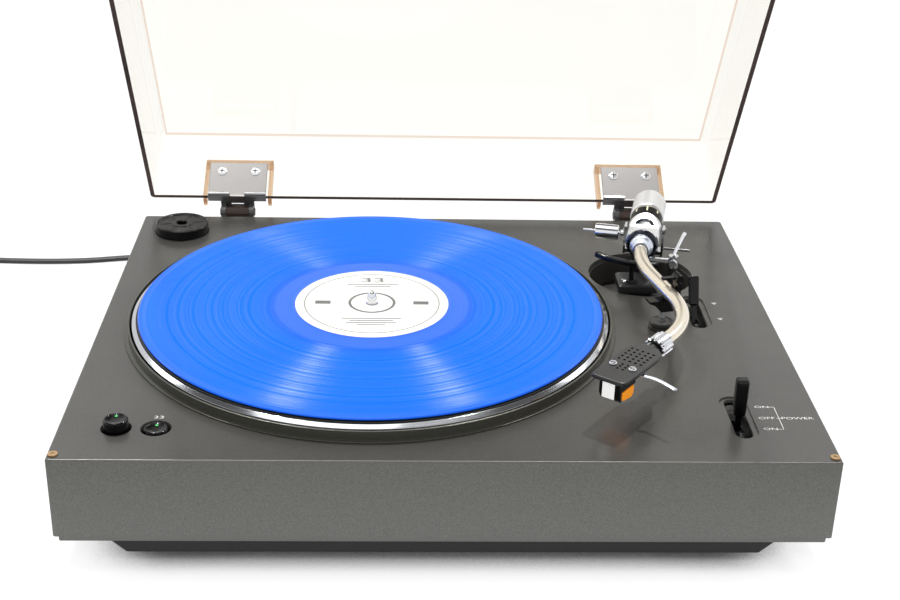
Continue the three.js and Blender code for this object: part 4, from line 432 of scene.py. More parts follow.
# Tint, share mirrored, roughness, how opaque, and the colour of what is opaque
CLEAR_LOOKS = {
    "clear_tint": ((255, 254, 251), 0.25, 0.02, 0.008, (255, 255, 255)),
    "lid_edge": ((120, 96, 88), 0.6, 0.1, 0.86, (40, 32, 32)),
    "lid_amber": ((250, 234, 216), 0.6, 0.05, 0.24, (216, 178, 146)),
    "lid_line": ((238, 224, 214), 0.3, 0.05, 0.06, (216, 178, 146)),
}
# Colour, roughness, metal, drift of the colour, grain in cycles per metre, depth of the grain
PLAIN_LOOKS = {
    "dark_plastic": ((26, 26, 27), 0.42, 0, 0.1, 1500, 0.05),
    "pan_steel": ((26, 26, 28), 0.5, 0.2, 0.1, 1500, 0.08),
    "rubber": ((20, 20, 20), 0.75, 0, 0.1, 1200, 0.1),
    "chrome": ((226, 228, 232), 0.07, 1, 0.02, 500, 0),
    "satin_silver": ((224, 225, 228), 0.27, 1, 0.01, 1600, 0),
    "weight_steel": ((222, 223, 226), 0.3, 1, 0.01, 1600, 0),
    "champagne_tube": ((234, 225, 209), 0.22, 1, 0.01, 900, 0),
    "gloss_black": ((10, 10, 11), 0.14, 0, 0.1, 500, 0),
    "cream_paper": ((246, 246, 243), 0.6, 0, 0.02, 1500, 0.05),
    "hinge_steel": ((104, 90, 86), 0.35, 0.7, 0.02, 900, 0),
    "leaf_steel": ((112, 111, 112), 0.34, 0.6, 0.01, 900, 0),
    "tan_rubber": ((168, 130, 72), 0.5, 0, 0.15, 1200, 0.1),
    "brass": ((190, 158, 92), 0.25, 1, 0.05, 900, 0.02),
    "orange_plastic": ((255, 168, 24), 0.35, 0, 0.01, 900, 0),
    "grey_cord": ((52, 52, 55), 0.5, 0, 0.1, 900, 0.05),
    "print_white": ((232, 232, 230), 0.5, 0, 0.02, 900, 0),
    "label_grey": ((96, 96, 98), 0.6, 0, 0.05, 1500, 0),
    "green_dot": ((40, 210, 90), 0.4, 0, 0.05, 900, 0),
    # Painted shade: dark_gap darkens the housing window's floor and the hinge screws' crosses, which stand in
    # shade
    "dark_gap": ((8, 8, 8), 0.7, 0, 0.1, 900, 0),
    "dark_collar": ((78, 78, 71), 0.3, 0.3, 0.03, 2400, 0.02),
    "shell_black": ((24, 24, 27), 0.36, 0.1, 0.04, 2400, 0.05),
    "dark_clear": ((48, 47, 44), 0.12, 0.3, 0.1, 600, 0),
    # Painted reflection: the arm well is painted grey for the reflection seen on its curved floor
    "well_painted_reflection": ((90, 88, 84), 0.22, 0.1, 0.03, 900, 0),
    "nose_steel": ((216, 222, 234), 0.3, 1, 0.01, 600, 0),
    "dial_black": ((6, 6, 7), 0.3, 0, 0.05, 600, 0),
    "dial_grey": ((140, 137, 131), 0.4, 0.5, 0.02, 600, 0),
    "print_cream": ((240, 236, 205), 0.5, 0, 0.02, 600, 0),
    "dark_chrome": ((58, 60, 68), 0.1, 1, 0.02, 600, 0),
    "plate_white_painted_glow": ((255, 255, 252), 0.5, 0, 0.005, 600, 0),
}
MIRRORS_LESS = {"dial_black": 0.03, "gloss_black": 0.3}
# The cartridge plate's glow is painted light that brightens it; the plate is no lamp
GLOWS = {"orange_plastic": (255, 140, 16), "plate_white_painted_glow": (255, 255, 252)}
GLOW = 0.35


def make_looks():
    looks = {
        "plinth_paint": paint_material(),
        "blue_vinyl": vinyl_material(),
        "cast_aluminium": platter_material(),
    }
    for name, row in CLEAR_LOOKS.items():
        looks[name] = clear_material(name, *row)
    for name, row in PLAIN_LOOKS.items():
        looks[name] = finish(name, *row)

    def sockets(name):
        return looks[name].node_tree.nodes["Principled BSDF"].inputs

    for name, level in MIRRORS_LESS.items():
        sockets(name)["Specular IOR Level"].default_value = level
    for name, colour in GLOWS.items():
        sockets(name)["Emission Color"].default_value = linear(colour)
        sockets(name)["Emission Strength"].default_value = GLOW
    return looks


LOOKS = make_looks()
RECORD = frame["record"]
SLOT_OF = {row["node"]: row["material_slot"] for row in RECORD["subparts"]}
BODY_OF = {node: body for body, nodes in RECORD["behaviour"]["bodies"].items() for node in nodes}


# Mesh helpers, in millimetres

def eased(points, radius, closed):
    """The profile with three points of an arc at each corner."""
    points = [Vector(point) for point in points]
    result = []
    for i, corner in enumerate(points):
        if not closed and i in (0, len(points) - 1):
            result.append(corner)
            continue
        into = points[i - 1] - corner
        out = points[(i + 1) % len(points)] - corner
        reach = min(radius, into.length * 0.45, out.length * 0.45)
        start = corner + into.normalized() * reach
        end = corner + out.normalized() * reach
        result += [start, (start + end) / 4 + corner / 2, end]
    return result


def turned(profile, sides=MEDIUM, ease=0.3):
    """Solid of revolution about Z: a profile that starts off the axis closes into a ring."""
    closed = profile[0][0] > 0
    angles = [math.tau * k / sides for k in range(sides)]
    mesh = bmesh.new()
    rows = []
    for radius, z in eased(profile, ease, closed):
        if radius < ON_AXIS:
            rows.append([mesh.verts.new((0, 0, z))] * sides)
        else:
            rows.append([mesh.verts.new((radius * math.cos(a), radius * math.sin(a), z)) for a in angles])
    for first, second in zip(rows, rows[1:] + (rows[:1] if closed else [])):
        for k in range(sides):
            after = (k + 1) % sides
            # A row on the axis is one point, which a face takes only once
            corners = dict.fromkeys((first[k], second[k], second[after], first[after]))
            mesh.faces.new(tuple(corners))
    return mesh


def tube(inner, outer, low, high, sides=MEDIUM, ease=0.3):
    """Upright ring, or a bar where it starts on the axis."""
    return turned([(inner, low), (outer, low), (outer, high), (inner, high)], sides, ease)


def rod(radius, low, high, x=0.0, y=0.0, sides=SMALL, ease=0.2):
    return moved(tube(0, radius, low, high, sides, ease), shift(x, y))


def bore(radius, low, high, at=(0, 0), sides=SMALL):
    """Bar that cuts a round hole."""
    return rod(radius, low, high, *at, sides, SHARP)


def skin(rows):
    """Closed skin over rows with the same number of points."""
    mesh = bmesh.new()
    rows = [[mesh.verts.new(point) for point in row] for row in rows]
    count = len(rows[0])
    for low, high in zip(rows, rows[1:]):
        for k in range(count):
            after = (k + 1) % count
            mesh.faces.new((low[k], low[after], high[after], high[k]))
    mesh.faces.new(rows[0])
    mesh.faces.new(rows[-1])
    return mesh


def stacked(levels):
    """Skin over level outlines: rows are an outline and its height."""
    return skin([[(x, y, z) for x, y in outline] for outline, z in levels])


def prism(outline, low, high):
    return stacked([(outline, low), (outline, high)])


def swept(points, section):
    """Section along points, kept upright: section rows are sideways and up."""
    rows = []
    for i, point in enumerate(points):
        along = (points[min(i + 1, len(points) - 1)] - points[max(i - 1, 0)]).normalized()
        across = Vector((-along.y, along.x, 0)).normalized()
        up = along.cross(across)
        rows.append([point + across * a + up * b for a, b in section])
    return skin(rows)


def side_profile(profile, width):
    """Outline in forward and up, given thickness across."""
    return skin([[(x, -forward, z) for forward, z in profile] for x in (-width / 2, width / 2)])


def softened(mesh, width, angle=30):
    """Rounds the sharp edges."""
    bmesh.ops.recalc_face_normals(mesh, faces=mesh.faces)
    limit = math.radians(angle)
    sharp = [edge for edge in mesh.edges if edge.is_manifold and edge.calc_face_angle(0) > limit]
    bmesh.ops.bevel(
        mesh, geom=sharp, offset=width, segments=2, profile=0.5, affect="EDGES", clamp_overlap=True,
    )
    return mesh


def slab(outline, low, high, ease=0.3):
    return softened(prism(outline, low, high), ease)


def block(low, high, ease=0.3):
    outline = [(low[0], low[1]), (high[0], low[1]), (high[0], high[1]), (low[0], high[1])]
    return slab(outline, low[2], high[2], ease)


def rounded(width, depth, radius, x=0.0, y=0.0, steps=6):
    """Outline of a rectangle with round corners."""
    points = []
    for quarter, (side_x, side_y) in enumerate(((1, 1), (-1, 1), (-1, -1), (1, -1))):
        for i in range(steps + 1):
            angle = (quarter + i / steps) * math.pi / 2
            points.append((
                x + side_x * (width / 2 - radius) + radius * math.cos(angle),
                y + side_y * (depth / 2 - radius) + radius * math.sin(angle),
            ))
    return points


def moved(mesh, matrix):
    bmesh.ops.transform(mesh, matrix=matrix, verts=mesh.verts)
    return mesh


def baked(mesh, name):
    """The mesh as Blender's own data, with its faces turned outwards."""
    bmesh.ops.recalc_face_normals(mesh, faces=mesh.faces)
    data = bpy.data.meshes.new(name)
    mesh.to_mesh(data)
    mesh.free()
    return data


def joined(*meshes):
    """Several closed bodies in one mesh."""
    whole = bmesh.new()
    for mesh in meshes:
        data = baked(mesh, "part")
        whole.from_mesh(data)
        bpy.data.meshes.remove(data)
    return whole


def carved(body, *tools, operation="DIFFERENCE"):
    """The body with the tools cut out of it, or what it shares with them."""
    things = [shown("tool", baked(mesh, "tool")) for mesh in (body, *tools)]
    for tool in things[1:]:
        cut = things[0].modifiers.new("cut", "BOOLEAN")
        cut.solver = "EXACT"
        cut.operation = operation
        cut.object = tool
    graph = bpy.context.evaluated_depsgraph_get()
    data = bpy.data.meshes.new_from_object(things[0].evaluated_get(graph))
    result = bmesh.new()
    result.from_mesh(data)
    bpy.data.meshes.remove(data)
    for thing in things:
        data = thing.data
        bpy.data.objects.remove(thing)
        bpy.data.meshes.remove(data)
    bmesh.ops.remove_doubles(result, verts=result.verts, dist=0.001)
    return result


def smooth_line(knots, steps):
    """Points on a smooth curve through the knots."""
    points = []
    for i in range(len(knots) - 1):
        a = knots[max(i - 1, 0)]
        b, c = knots[i], knots[i + 1]
        d = knots[min(i + 2, len(knots) - 1)]
        for k in range(steps):
            t = k / steps
            points.append(0.5 * (2 * b + (c - a) * t + (2 * a - 5 * b + 4 * c - d) * t ** 2
                                 + (3 * b - a - 3 * c + d) * t ** 3))
    points.append(knots[-1].copy())
    return points


STAND_IN = "_fine"


def tied(thing, solid):
    """The piece moves with its solid's body."""
    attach(thing, BODY_OF[solid])


def piece(name, mesh, where, solid=None, look=None, replaced=(), smooth=35):
    """A finished piece that goes with a solid. One named after a solid and _fine stands for it."""
    if name.endswith(STAND_IN):
        solid = name.removesuffix(STAND_IN)
        replaced = replaced or [solid]
    data = baked(mesh, name)
    data.transform(where)
    if where.to_3x3().determinant() < 0:
        data.flip_normals()
    data.materials.append(LOOKS[look or SLOT_OF[solid]])
    data.polygons.foreach_set("use_smooth", [True] * len(data.polygons))
    data.set_sharp_from_angle(angle=math.radians(smooth))
    thing = shown(name, data)
    tied(thing, solid)
    if replaced:
        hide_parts(*replaced)
    # Large faces keep a flat shade up to their rounded edges
    weighted = thing.modifiers.new("shading", "WEIGHTED_NORMAL")
    weighted.mode = "FACE_AREA"
    weighted.weight = 100
    weighted.keep_sharp = True
    return thing


def words(name, text, at, size, wide=1.5, where=DECK, solid="plinth_shell", look="print_white"):
    """Flat lettering that lies on a level face."""
    curve = bpy.data.curves.new(name, "FONT")
    curve.body = text
    curve.size = size
    curve.align_x = curve.align_y = "CENTER"
    curve.extrude = 0.02
    curve.materials.append(LOOKS[look])
    thing = shown(name, curve)
    thing.matrix_world = where @ shift(*at) @ Matrix.Diagonal((wide, 1, 1, 1))
    tied(thing, solid)


# Height of a printed bar, and of lettering above the deck
INK = 0.04
INK_Z = 0.06


def bar(x1, y1, x2, y2):
    """Flat printed bar."""
    return block((x1, y1, 0), (x2, y2, INK), SHARP)


# Plinth, pan and feet

WELL_RADIUS = 157.3
ARM_WELL = (143, 251)
ARM_WELL_RADIUS = 36.5
ADAPTER = (-188.3, 322)
BUTTONS = {"left": (-187, 34.4), "right": (-164.6, 34.4)}
SLOT_X = 171.2
SLOTS = (50.5, 191)
BUMPER = (216.4, 5.6)
MOTOR = (-120.93, 278.03)
LIP = -50
OVER_DECK = 5


def long_hole(width, length, y, low):
    return prism(rounded(width, length, width / 2 - SHARP, SLOT_X, y, 10), low, OVER_DECK)


def add_plinth():
    def outline(inset):
        width, depth = PLINTH_WIDTH - 2 * inset, PLINTH_DEPTH - 2 * inset
        return rounded(width, depth, 1.6, 0, PLINTH_DEPTH / 2, 3)

    body = stacked([
        (outline(2.4), -PLINTH_HEIGHT), (outline(2.4), LIP), (outline(0), LIP), (outline(0), -1),
        (outline(0.35), -0.35), (outline(1), 0),
    ])
    cavity = carved(
        block((-211.5, 8.5, -60), (211.5, 342.3, -3.2), SHARP), bore(160.3, -25, OVER_DECK, SPINDLE, ROUND),
    )
    tools = [
        cavity,
        bore(WELL_RADIUS, -22, OVER_DECK, SPINDLE, ROUND),
        bore(8.3, -30, -20, SPINDLE),
        bore(14, -30, -20, MOTOR),
        bore(ARM_WELL_RADIUS, -8, OVER_DECK, ARM_WELL, FINE),
        bore(19.7, -1.8, OVER_DECK, ADAPTER, MEDIUM),
        moved(bore(5.3, 0, 20), shift(GLAND_X, PLINTH_DEPTH - 12, GLAND_Z) @ turn(-90, "X")),
    ]
    tools += [bore(8.8, -8, OVER_DECK, at, PLAIN) for at in BUTTONS.values()]
    for y in SLOTS:
        tools += [long_hole(10.4, 45, y, -8), long_hole(16.8, 49, y, -1.1)]
    tools += [bore(1.8, -1, 3, (side * BUMPER[0], BUMPER[1])) for name, side in SIDES]
    shell = softened(carved(body, *tools), 0.3, 50)
    piece("plinth_shell_fine", shell, DECK, smooth=40)


def add_collar():
    inner, wall, flange = 155.7, 157.0, 159.4
    low, high = -7, 6.8
    profile = [
        (inner, low), (wall, low), (wall, 0.1), (flange, 0.1), (flange, 1), (wall, 1),
        (wall, high), (inner, high),
    ]
    piece("platter_surround_fine", turned(profile, ROUND, 0.35), PLATTER, look="dark_collar")


def add_bumpers():
    profile = [(0, -0.4), (1.5, -0.4), (1.5, 0.05), (2.8, 0.05), (2.8, 0.9), (1, 0.9), (1, 0.4), (0, 0.4)]
    for name, side in SIDES:
        where = DECK @ shift(side * BUMPER[0], BUMPER[1])
        piece(f"lid_bumper_{name}_fine", turned(profile, SMALL, 0.2), where)


# Platter, record and label

PLATTER_LOW = -11.7
MAT_TOP = 9.2
RECORD_LOW = 9.5
RECORD_TOP = 11.0
LABEL_TOP = 11.35


def add_platter():
    web = 3.1
    profile = [
        (3.8, 6.1), (151.5, 6.1), (151.5, 8.3), (151.8, 8.3), (154.4, 6.6), (154.4, PLATTER_LOW),
        (150.4, PLATTER_LOW), (150.4, web), (100, web), (100, PLATTER_LOW), (96.5, PLATTER_LOW), (96.5, web),
        (15, web), (15, -4.9), (3.8, -4.9),
    ]
    piece("platter_fine", turned(profile, ROUND, 0.25), PLATTER)
    mat = [(3.8, 6.2), (151.2, 6.2), (151.2, MAT_TOP)]
    for k in range(12):
        radius = 146 - k * 11
        mat += [(radius, MAT_TOP), (radius - 0.6, MAT_TOP - 0.4), (radius - 1.2, MAT_TOP)]
    mat += [(3.8, MAT_TOP)]
    piece("platter_mat_fine", turned(mat, ROUND, 0.15), PLATTER)


def add_record():
    low, high = RECORD_LOW, RECORD_TOP
    profile = [
        (3.9, low), (52, low), (148, low + 0.1), (149.6, low), (150.5, low + 0.75), (149.6, high),
        (148, high - 0.1), (52, high - 0.1), (51, high), (3.9, high),
    ]
    piece("record_fine", turned(profile, ROUND * 2, 0.3), PLATTER, smooth=20)
    label = tube(3.9, 50, RECORD_TOP + 0.05, LABEL_TOP, ROUND, 0.08)
    piece("record_label_fine", label, PLATTER)


def add_label_print():
    rows = {
        "label_ring": tube(43.6, 44.2, 0, INK, ROUND, SHARP),
        "label_hub_ring": tube(13.6, 15.4, 0, INK, MEDIUM, SHARP),
    }
    lines = [
        bar(-half, y, half, y + 1)
        for y, half in ((27.5, 17), (24.5, 12), (-24, 19), (-27, 14), (-30, 16), (-33, 9))
    ]
    lines += [bar(x, -2.4, x + 10, 2.4) for x in (-37, 27)]
    rows["label_lines"] = joined(*lines)
    for name, mesh in rows.items():
        piece(name, mesh, PLATTER @ shift(0, 0, LABEL_TOP + 0.01), "record_label", "label_grey")
    at = (0, 34.5, LABEL_TOP + 0.07)
    words("label_number", "33", at, 10, 1.7, PLATTER, "record_label", "label_grey")


def add_spindle():
    profile = [
        (0, -44), (3.2, -43.7), (3.5, -43.2), (3.5, 14), (3.2, 16.5), (2.4, 18.8), (1.3, 19.8), (0, 20),
    ]
    piece("spindle_shaft_fine", turned(profile, SMALL, 0.4), PLATTER)


# Adapter, buttons and levers

def add_adapter():
    high = 8.2
    profile = [
        (3.9, 0), (19.2, 0), (19.2, high - 0.6), (18.6, high), (17.4, high), (17.1, high - 0.5), (16.6, high),
        (15.6, high), (15.3, high - 0.5), (8.3, high - 0.5), (8.0, high), (5.0, high), (4.4, high - 0.6),
        (3.9, high - 0.6),
    ]
    parts = [turned(profile, MEDIUM, 0.15)]
    for k in range(6):
        rib = block((7.8, -0.4, high - 1.6), (15.8, 0.4, high - 0.2), 0.1)
        parts.append(moved(rib, turn(60 * k + 10, "Z")))
    piece("speed_adapter_fine", joined(*parts), DECK @ shift(*ADAPTER, -1.5), look="gloss_black")


def add_buttons():
    profile = [
        (0, -26), (2, -26), (2, -11), (7.15, -11), (7.15, -0.9), (6.4, -0.1), (5.9, 0), (5.6, -0.35),
        (3.0, -0.75), (0, -0.9),
    ]
    for name, top in (("left", 6.3), ("right", 0.5)):
        where = DECK @ shift(*BUTTONS[name], top)
        piece(f"speed_button_{name}_fine", turned(profile, PLAIN, 0.2), where)
        dot = turned([(0, -0.7), (0.9, -0.7), (0.9, -0.35), (0, -0.25)], 20, 0.1)
        piece(f"button_dot_{name}", dot, where @ shift(0, 3.4), f"speed_button_{name}", "green_dot")
    words("button_number", "33", (BUTTONS["right"][0], 46.6, INK_Z), 4.2)


LEVER_DEPTH = 13
# Each lever: place, width, thickness, height of the grip, its top, and how far it leans
LEVERS = {
    "power_lever": (SLOTS[0], 7.3, 6, 24, 25.4, 0),
    "cue_lever": (SLOTS[1], 6.6, 4.6, 20, 22.8, 24),
}


def paddle(width, thickness, low, high):
    """Flat grip, hollowed a little at its front; add_levers softens its edges."""
    half, deep = width / 2, thickness / 2
    outline = [
        (-half, -deep * 0.7), (-half * 0.8, -deep), (half * 0.8, -deep), (half, -deep * 0.7),
        (half, deep * 0.8), (half * 0.85, deep), (-half * 0.85, deep), (-half, deep * 0.8),
    ]
    rows = ((0.7, low), (0.93, low + 1.1), (1, low + 3), (1, high - 1.6), (0.93, high - 0.4), (0.8, high))
    return stacked([([(x * share, y * share) for x, y in outline], z) for share, z in rows])


def add_levers():
    for name, (y, width, thickness, height, top, lean) in LEVERS.items():
        high = LEVER_DEPTH + top
        where = DECK @ shift(SLOT_X, y, -LEVER_DEPTH) @ turn(-lean, "X")
        grip = softened(paddle(width, thickness, high - height, high), 0.3, 20)
        piece(f"{name}_grip", grip, where, name, replaced=[name])
        stem = block((-1.7, -1.3, -9), (1.7, 1.3, high - height + 1.2))
        hub = moved(tube(2.1, 4.4, -3, 3, SMALL), turn(90, "Y"))
        piece(f"{name}_stem", joined(stem, hub), where, name)


def add_prints():
    for name, text, x, y in (
        ("on_rear", "ON", 187.4, 62.3), ("off", "OFF", 187.6, 49.2), ("on_front", "ON", 187.2, 36.8),
        ("power", "POWER", 205.6, 49.2),
    ):
        words(f"print_{name}", text, (x, y, INK_Z), 3.6, 1.55)
    bars = [
        bar(191.6, 62.1, 194.6, 62.5), bar(191.6, 36.4, 194.9, 36.8), bar(194.5, 36.4, 194.9, 62.5),
        bar(193.2, 49.0, 197.2, 49.4),
    ]
    where = DECK @ shift(0, 0, 0.05)
    piece("print_bracket", joined(*bars), where, "plinth_shell", "print_white")
    marks = []
    for x, y in ((186.4, 203.1), (186.1, 179.5)):
        marks.append(slab([(x - 1.7, y + 1), (x, y - 1), (x + 1.7, y + 1)], 0, INK, SHARP))
        marks.append(bar(x - 1.7, y + 1.6, x + 1.7, y + 2.0))
    piece("print_arrows", joined(*marks), where, "plinth_shell", "print_white")


# Tonearm

TUBE_RADIUS = 4.6
HOUSING_REAR, HOUSING_FRONT = -2.5, 26.2
HOUSING_RADIUS = 11.6
HOUSING_ROOF = 5.9
HOUSING_SLOPE = 22


def tube_points():
    """Centreline of the S shaped tube, from above, in the arm's axes."""
    start = Vector((0, 8 - HOUSING_FRONT, ARM_HEIGHT))
    first = Vector((0, -FIRST_BEND, ARM_HEIGHT))
    second = Vector((SECOND_OUT, -SECOND_BEND, ARM_HEIGHT))
    angle = math.radians(HEAD_ANGLE)
    tail = (HEAD_AT - SECOND_BEND) / math.cos(angle) - 9 + 6.5
    end = second + Vector((-tail * math.sin(angle), -tail * math.cos(angle), 0))
    points = [start]
    corners = ((start, first, second), (first, second, end))
    for (before, corner, after), radius in zip(corners, BEND_RADII):
        back = (before - corner).normalized()
        ahead = (after - corner).normalized()
        reach = radius / math.tan(back.angle(ahead) / 2)
        near, far = corner + back * reach, corner + ahead * reach
        for k in range(25):
            t = k / 24
            points.append(near * (1 - t) ** 2 + corner * 2 * t * (1 - t) + far * t ** 2)
    return points + [end]


def add_tube():
    angles = [math.tau * (k + 0.5) / 40 for k in range(40)]
    section = [(TUBE_RADIUS * math.cos(a), TUBE_RADIUS * math.sin(a)) for a in angles]
    piece("arm_tube_fine", swept(tube_points(), section), ARM)


def moon(wide, deep):
    return [(wide * math.cos(math.pi * k / 24), deep * math.sin(math.pi * k / 24)) for k in range(25)]


def add_housing():
    rear, front, radius = HOUSING_REAR, HOUSING_FRONT, HOUSING_RADIUS
    seat, depth = 4.9, 8.3
    profile = [
        (0, rear), (radius, rear), (radius, front), (seat, front), (seat, front - depth), (0, front - depth),
    ]
    upright = turn(90, "X").inverted()
    slope = upright @ shift(0, -rear, radius) @ turn(HOUSING_SLOPE, "X")
    chop = moved(block((-30, -60, 0), (30, 10, 30), SHARP), slope)
    above = moved(block((-30, -60, HOUSING_ROOF), (30, 60, 40), SHARP), upright)
    chop = carved(chop, above, operation="INTERSECT")
    window = slope @ shift(0, -12.6, 0)
    half = moved(prism(moon(7.1, 7.1), -2.6, 6), window)
    shell = softened(carved(turned(profile, FINE, 0.4), chop, half), 0.25, 40)
    piece("arm_housing_fine", shell, ALONG)
    # Painted shade: a near black sheet on the window's floor stands for the shade round the pad
    floor = moved(prism(moon(7, 7), -2.59, -2.5), window)
    piece("window_floor", floor, ALONG, "arm_housing", "dark_gap")
    pad = stacked([
        (moon(5, 6.3), -2.5), (moon(4.8, 6), -1.5), (moon(4.1, 5.2), -0.9), (moon(2.8, 3.6), -0.7),
    ])
    piece("window_pad", moved(pad, window @ shift(0, 0.15, 0)), ALONG, "arm_housing", "chrome")


def add_bell():
    ring = [(8.6, 26.5), (10.3, 26.5), (10.8, 27.1), (10.8, 28.5), (10.3, 29.4), (9.4, 29.9), (8.6, 29.7)]
    piece("bell_ring", turned(ring, FINE), ALONG, "arm_bell", "dark_chrome", ["arm_bell"])
    nose = [
        (4.9, 26.6), (8.5, 26.6), (8.5, 29.6), (8.2, 30.6), (8.0, 33), (7.2, 34.2), (6.5, 34.6), (6.4, 35.4),
        (6.2, 37.8), (5.3, 38.7), (4.9, 38.7),
    ]
    piece("bell_nose", turned(nose, FINE, 0.4), ALONG, "arm_bell", "nose_steel")


DIAL_FRONT, DIAL_REAR = -2.8, -18
WEIGHT_FRONT, WEIGHT_REAR = -18.5, -48


def add_weight():
    front, rear = DIAL_FRONT, DIAL_REAR
    dial = [(4.4, front), (10.9, front), (11.6, front - 1), (11.6, rear + 2.6), (4.4, rear + 2.6)]
    piece("force_dial_fine", turned(dial, FINE), ALONG, look="dial_black")
    skirt = [(4.4, rear + 2.5), (11.5, rear + 2.5), (11.7, rear + 2.1), (11.7, rear), (4.4, rear)]
    piece("dial_skirt", turned(skirt, FINE, 0.2), ALONG, "force_dial", "dial_grey")
    ticks = []
    for k in range(1, 9):
        tick = block((-0.6, 11.55, rear + 3.4), (0.6, 11.68, rear + 8), 0.02)
        ticks.append(moved(tick, turn(40 * k, "Z")))
    ticks.append(block((-0.6, 11.55, rear + 2.9), (0.6, 11.68, rear + 10.5), 0.02))
    piece("dial_ticks", joined(*ticks), ALONG, "force_dial", "print_cream")
    front, rear = WEIGHT_FRONT, WEIGHT_REAR
    weight = [
        (4.3, front), (11.3, front), (12.1, front - 0.8), (12.1, rear + 0.8), (11.3, rear), (9.2, rear),
        (8.4, rear + 2), (4.3, rear + 2),
    ]
    piece("counterweight_fine", turned(weight, FINE), ALONG)
    stub = [(0, -2.8), (3.6, -2.8), (4, -3.2), (4, rear - 1.6), (3.6, rear - 2), (0, rear - 2)]
    piece("counterweight_stub_fine", turned(stub, SMALL, 0.2), ALONG)


SIDE_AT = (-4, 23.6)


def add_side_balance():
    where = ARM @ shift(0, *SIDE_AT) @ turn(-90, "Y")
    axle = turned([(0, 14.4), (0.9, 14.4), (0.9, 43), (0.6, 43.5), (0, 43.5)], 20, 0.15)
    nut = turned([(0.9, 14.4), (2.0, 14.4), (2.2, 14.7), (2.2, 16.5), (2.0, 16.8), (0.9, 16.8)], 24, 0.1)
    piece("side_rod_fine", joined(axle, nut), where)
    weight = [(1.2, 17.8), (4.5, 17.8), (5.3, 18.6), (5.3, 34.4), (4.9, 34.8), (1.2, 34.8)]
    piece("side_weight_fine", turned(weight), where)


def add_lock():
    """Ribbed locking collar between the tube and the headshell."""
    count, radius, rib = 112, 6.65, 0.35
    full = []
    for k in range(count):
        reach = radius + rib * max(-1, min(1, 2.2 * math.cos(math.tau * k / 8)))
        angle = math.tau * k / count
        full.append((reach * math.cos(angle), reach * math.sin(angle)))
    low = [(x * 0.93, y * 0.93) for x, y in full]
    body = stacked([
        (low, 0), (full, 0.6), (full, 9.2), (low, 9.4), (low, 10.2), (full, 10.4), (full, 12.4), (low, 13),
    ])
    where = HEAD @ shift(0, 9, 0) @ turn(90, "X")
    piece("locking_collar_fine", carved(body, bore(5, -2, 15, sides=PLAIN)), where)


SHELL_TOP = 4.3
# Right edge of the headshell from above: across, along, and which way an inset moves it along
SHELL_EDGE = (
    (6, -8.4, -1), (6.6, -9.2, -1), (9.6, -14, 0), (11.3, -18, 0), (11.7, -21, 0), (11.7, -45, 0),
    (11.4, -57, 1), (10.6, -59, 1), (8.6, -60, 1),
)


def shell_outline(inset):
    right = [(x - inset, y + way * inset) for x, y, way in SHELL_EDGE]
    return right + [(-x, y) for x, y in reversed(right)]


def add_shell():
    top = SHELL_TOP
    rows = ((0.9, top - 3), (0.1, top - 2.3), (0, top - 1.2), (0.5, top - 0.3), (1.2, top))
    plate = stacked([(shell_outline(inset), z) for inset, z in rows])
    places = [(0.95, (column - 2) * 3.6, -18 - row * 3.9) for row in range(5) for column in range(5)]
    places += [(0.9, x, -39 - row * 3) for row in range(3) for x in (-1.8, 1.8)]
    holes = [bore(radius, top - 5, top + 2, (x, y), TINY) for radius, x, y in places]
    heel = stacked([
        (rounded(12.6, 14, 2, 0, -16.4), top - 8.4), (rounded(14, 15, 2, 0, -16.5), top - 7),
        (rounded(15, 15.5, 2, 0, -16.6), top - 1.6),
    ])
    plug = moved(rod(4, 0, 11), shift(0, -2.4, 0) @ turn(90, "X"))
    piece("headshell_fine", joined(carved(plate, *holes), heel, plug), HEAD, look="shell_black")


def add_head_screws():
    for name, side in SIDES:
        head = turned([(0, 0), (2.4, 0), (2.4, 0.9), (1.9, 1.5), (0, 1.7)], 28, 0.2)
        slot = block((-3, -0.3, 1.0), (3, 0.3, 3), SHARP)
        cross = block((-0.3, -3, 1.2), (0.3, 3, 3), SHARP)
        where = HEAD @ shift(side * 6.35, -42, SHELL_TOP) @ turn(25, "Z")
        piece(f"head_screw_{name}", carved(head, slot, cross), where, "headshell", "chrome")


def add_finger_lift():
    z = SHELL_TOP - 3.95
    knots = [
        (8.5, -37.5, z), (13, -37.1, z), (17.2, -36.7, z), (22.5, -37.1, z - 0.2), (28, -38.1, z - 0.6),
        (32.2, -39.1, z - 0.9), (33, -39.4, z - 0.9),
    ]
    section = [
        (-1.3, -0.5), (1.3, -0.5), (1.45, 0), (1.1, 0.4), (0.5, 0.55), (-0.5, 0.55), (-1.1, 0.4), (-1.45, 0),
    ]
    strip = swept(smooth_line([Vector(knot) for knot in knots], 4), section)
    piece("finger_lift_fine", strip, HEAD, look="nose_steel", smooth=60)


CARTRIDGE_TOP, CARTRIDGE_LOW = 1, -12


def add_cartridge():
    top, low = CARTRIDGE_TOP, CARTRIDGE_LOW
    body = [
        (37.5, top), (37.5, low + 6.3), (53.2, low + 6.3), (53.4, low), (53.7, low), (56, top - 9), (56, top),
    ]
    piece("cartridge_fine", softened(side_profile(body, 13.6), 0.4), HEAD)
    plate = block((-4.6, -56.35, top - 11.2), (3.4, -56.02, top - 0.9), 0.1)
    # Painted light: the plate glows to look brightly lit
    piece("cartridge_plate", plate, HEAD, "cartridge", "plate_white_painted_glow")
    high = low + 6
    form = [(39.5, high), (39.5, low + 1), (41.5, low - 1), (51, low), (53, low + 2), (53, high)]
    piece("stylus_assembly_fine", softened(side_profile(form, 14.4), 0.5), HEAD)
    needle = rod(0.35, 12 - ARM_HEIGHT, low + 1, 0, -49.5, TINY, 0.1)
    piece("cantilever", needle, HEAD, "stylus_assembly", "chrome")


# Lift bar, rest and well

LIFT_RADIUS = 47


